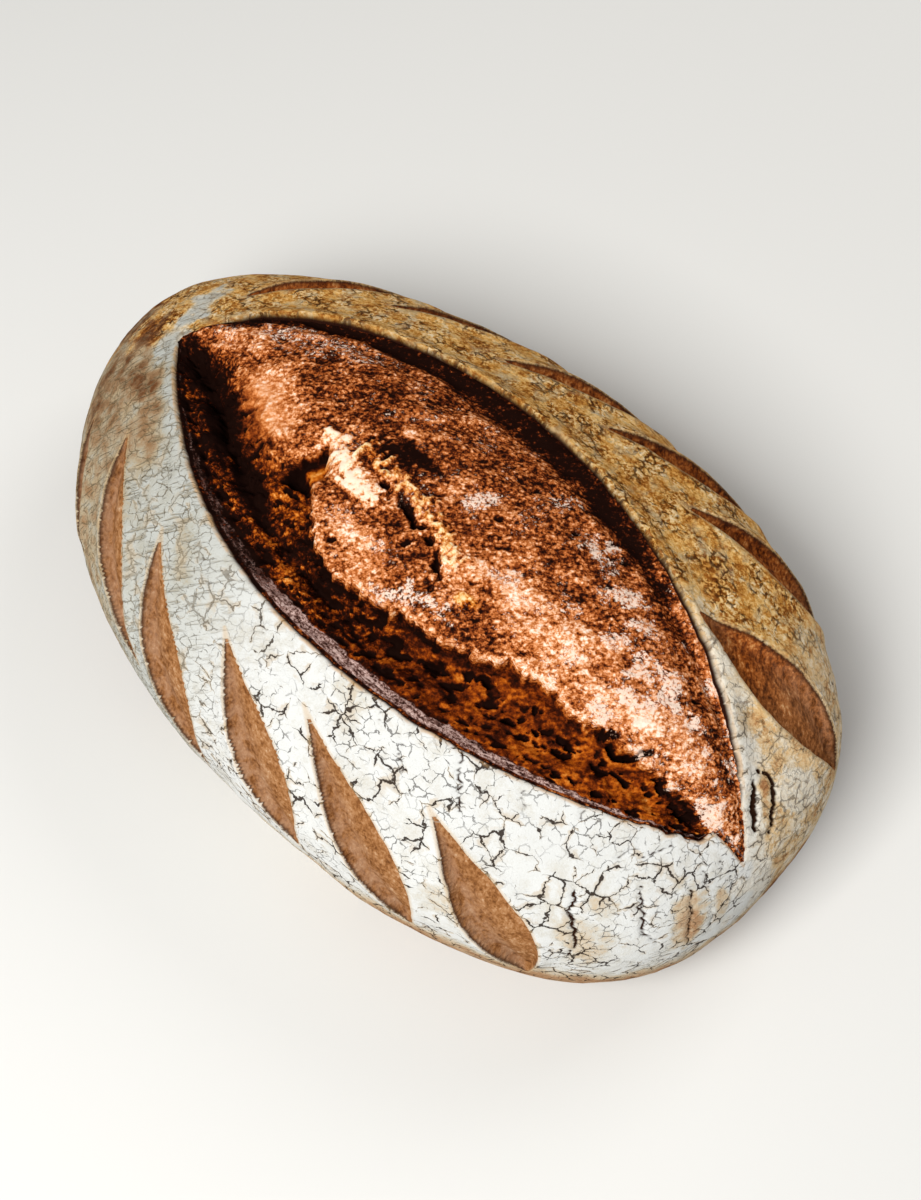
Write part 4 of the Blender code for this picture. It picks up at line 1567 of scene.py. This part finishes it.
# %% Slash floors
SLASH_NEAR = (
    (0.0, 68, 36, 16), (0.30, 118, 75, 40), (0.55, 144, 98, 58), (0.80, 165, 122, 84), (1.0, 194, 164, 134),
)
SLASH_FAR = ((0.20, 54, 20, 4), (0.45, 112, 52, 12), (0.70, 156, 84, 28), (1.0, 206, 152, 92))
slash_streak, slash_lump = streaks_in(tree, on_loaf, -45, 1.8, 1.0)
slash_speck = noise_of(tree, on_loaf, 0.9, 4.0, 0.7)
tone = plus(tree, times(tree, slash_streak, 0.55), times(tree, slash_speck, 0.30))
tone = step_of(tree, plus(tree, tone, times(tree, slash_lump, 0.45)), 0.36, 0.92)
slash_colour = mix_of(tree, far_side, ramp_of(tree, tone, SLASH_NEAR), ramp_of(tree, tone, SLASH_FAR))
back_dust = times(tree, step_of(tree, place, 0.35, -0.75), step_of(tree, slash_lump, 0.30, 0.62))
back_dust = times(tree, back_dust, left_of(tree, far_side, 0.9), 0.55)
slash_colour = mix_of(tree, back_dust, slash_colour, srgb(150, 117, 94))
# Painted shadow along the back edge of each slash floor, where the step above it shades it.
painted_shadow_edge = times(tree, step_of(tree, inset, 0.75, 0.15), step_of(tree, place, -0.2, -0.6), 0.85)
slash_colour = mix_of(tree, painted_shadow_edge, slash_colour, srgb(48, 24, 14))
wavering = plus(tree, inset, swung(tree, speckle, 0.5))
in_slash = step_of(tree, wavering, -0.05, 0.25)
slash_rim = step_of(tree, wavering, -1.1, -0.1)
print("with its slashes it takes", len(tree.nodes), "nodes")

# %% [markdown]
# ## Putting the skin together
#
# Each mask now lays its colour over the coat in turn: halo, wrinkles, cracks, the line along the
# split's edge, the wall inside the split, then the slashes and last the large cracks. The same masks
# make the bump, so that what is dark also lies deep.

# %% Skin finish
edge_line = times(tree, step_of(tree, lip, 0.9, 0.1), step_of(tree, patches, 0.35, 0.60))
edge_line = times(tree, edge_line, math_of(tree, "SUBTRACT", 0.7, times(tree, far_side, 0.45)))
LAYERS = (
    (halo, 1.0, srgb(176, 154, 120)), (wrinkled, 0.55, srgb(128, 116, 92)), (net, 0.95, crack_colour),
    (pebbled, 0.85, srgb(70, 36, 10)), (edge_line, 1.0, srgb(192, 152, 104)),
    (step_of(tree, lip, 0.05, -0.45), 1.0, srgb(38, 15, 7)), (slash_rim, 0.45, srgb(196, 166, 124)),
    (in_slash, 1.0, slash_colour), (step_of(tree, crack, 0.20, 0.65), 1.0, srgb(44, 24, 12)),
)
for mask, strength, colour in LAYERS:
    skin_colour = mix_of(tree, times(tree, mask, strength), skin_colour, colour)
outside = left_of(tree, in_slash)
height = plus(
    tree, times(tree, plus(tree, net, pebbled, times(tree, wrinkled, 0.8)), outside, -1.0),
    times(tree, speckle, 0.35), times(tree, granules, outside, 1.2), times(tree, slash_streak, in_slash, 0.6),
)
bump = {"Height": height, "Strength": 0.8, "Distance": 0.0006}
finished(skin, skin_finish_material, shader, skin_colour, 0.85, 0.05, bump)

# %% [markdown]
# ## Floor
#
# The loaf stands on a pale floor, wide enough that its edge never shows. It is part of the studio
# and not of the loaf.

# %% Floor
FLOOR_HALF_SIZE = 3.0
bm = bmesh.new()
bmesh.ops.create_grid(bm, x_segments=1, y_segments=1, size=FLOOR_HALF_SIZE)
floor = piece_from(bm, "floor")
floor_finish, tree, shader = new_finish("pale floor")
shader.inputs["Base Color"].default_value = srgb(214, 214, 212)
shader.inputs["Roughness"].default_value = 0.9
floor.data.materials.append(floor_finish)
print("the floor is", 2 * FLOOR_HALF_SIZE, "m wide")

# %% [markdown]
# ## Camera
#
# The camera looks down on the loaf at 60 degrees, from its near front. A distance and a focal length
# fitted to the outline give the same mild perspective as the photo's.

# %% Camera
CAMERA_TURN = math.radians(44.464)
CAMERA_RISE = math.radians(60.0)
CAMERA_AWAY = 0.61506
TARGET = Vector((0.00787, 0.00724, 0.030))
PHOTO_LONG_SIDE = 1200
FOCAL_PIXELS = 1900
SENSOR_MM = 36.0
right = Vector((math.cos(CAMERA_TURN), math.sin(CAMERA_TURN), 0.0))
ahead = Vector((-math.sin(CAMERA_TURN), math.cos(CAMERA_TURN), 0.0))
forward = ahead * math.cos(CAMERA_RISE) - Vector((0, 0, 1)) * math.sin(CAMERA_RISE)
lens = bpy.data.cameras.new("camera")
lens.sensor_width = SENSOR_MM
lens.lens = SENSOR_MM * FOCAL_PIXELS / PHOTO_LONG_SIDE
camera = bpy.data.objects.new("camera", lens)
camera.location = TARGET - forward * CAMERA_AWAY
camera.rotation_euler = forward.to_track_quat("-Z", "Y").to_euler()
bpy.context.collection.objects.link(camera)
bpy.context.scene.camera = camera
print("the camera has a focal length of", round(lens.lens, 1), "mm")

# %% [markdown]
# ## Light
#
# Light is soft, as in a small studio: a large lamp to the left and in front, a weaker one behind on
# the right, and a faint even sky that keeps the shadows open.

# %% Lights
LIGHTS = (
    ("main light", (-0.52, -0.74, 1.05), 24.5, (1.0, 0.99, 0.97)),
    ("back light", (0.70, 0.60, 0.80), 5.0, (1.0, 0.98, 0.95)),
)
LIGHT_SIZE = 0.70
AIM = Vector((0, 0, 0.04))
SKY_TINT = (1.0, 0.985, 0.96, 1.0)
SKY_STRENGTH = 0.22
for name, (sideways, away, up), watts, tint in LIGHTS:
    lamp = bpy.data.lights.new(name, "AREA")
    lamp.size = LIGHT_SIZE
    lamp.energy = watts
    lamp.color = tint
    holder = bpy.data.objects.new(name, lamp)
    holder.location = right * sideways + ahead * away + Vector((0, 0, up))
    holder.rotation_euler = (AIM - holder.location).to_track_quat("-Z", "Y").to_euler()
    bpy.context.collection.objects.link(holder)
    print(name, "stands", round((AIM - holder.location).length, 2), "m away")
world = bpy.data.worlds.new("studio")
world.use_nodes = True
sky = world.node_tree.nodes["Background"]
sky.inputs["Color"].default_value = SKY_TINT
sky.inputs["Strength"].default_value = SKY_STRENGTH
bpy.context.scene.world = world
bpy.context.scene.view_settings.view_transform = "Standard"

# %% [markdown]
# ## Hand over
#
# Each piece is told which body it rides on, and the plain solid is hidden.

# %% Hand over
for piece in (skin, dough):
    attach(piece, "root")
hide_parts("loaf")
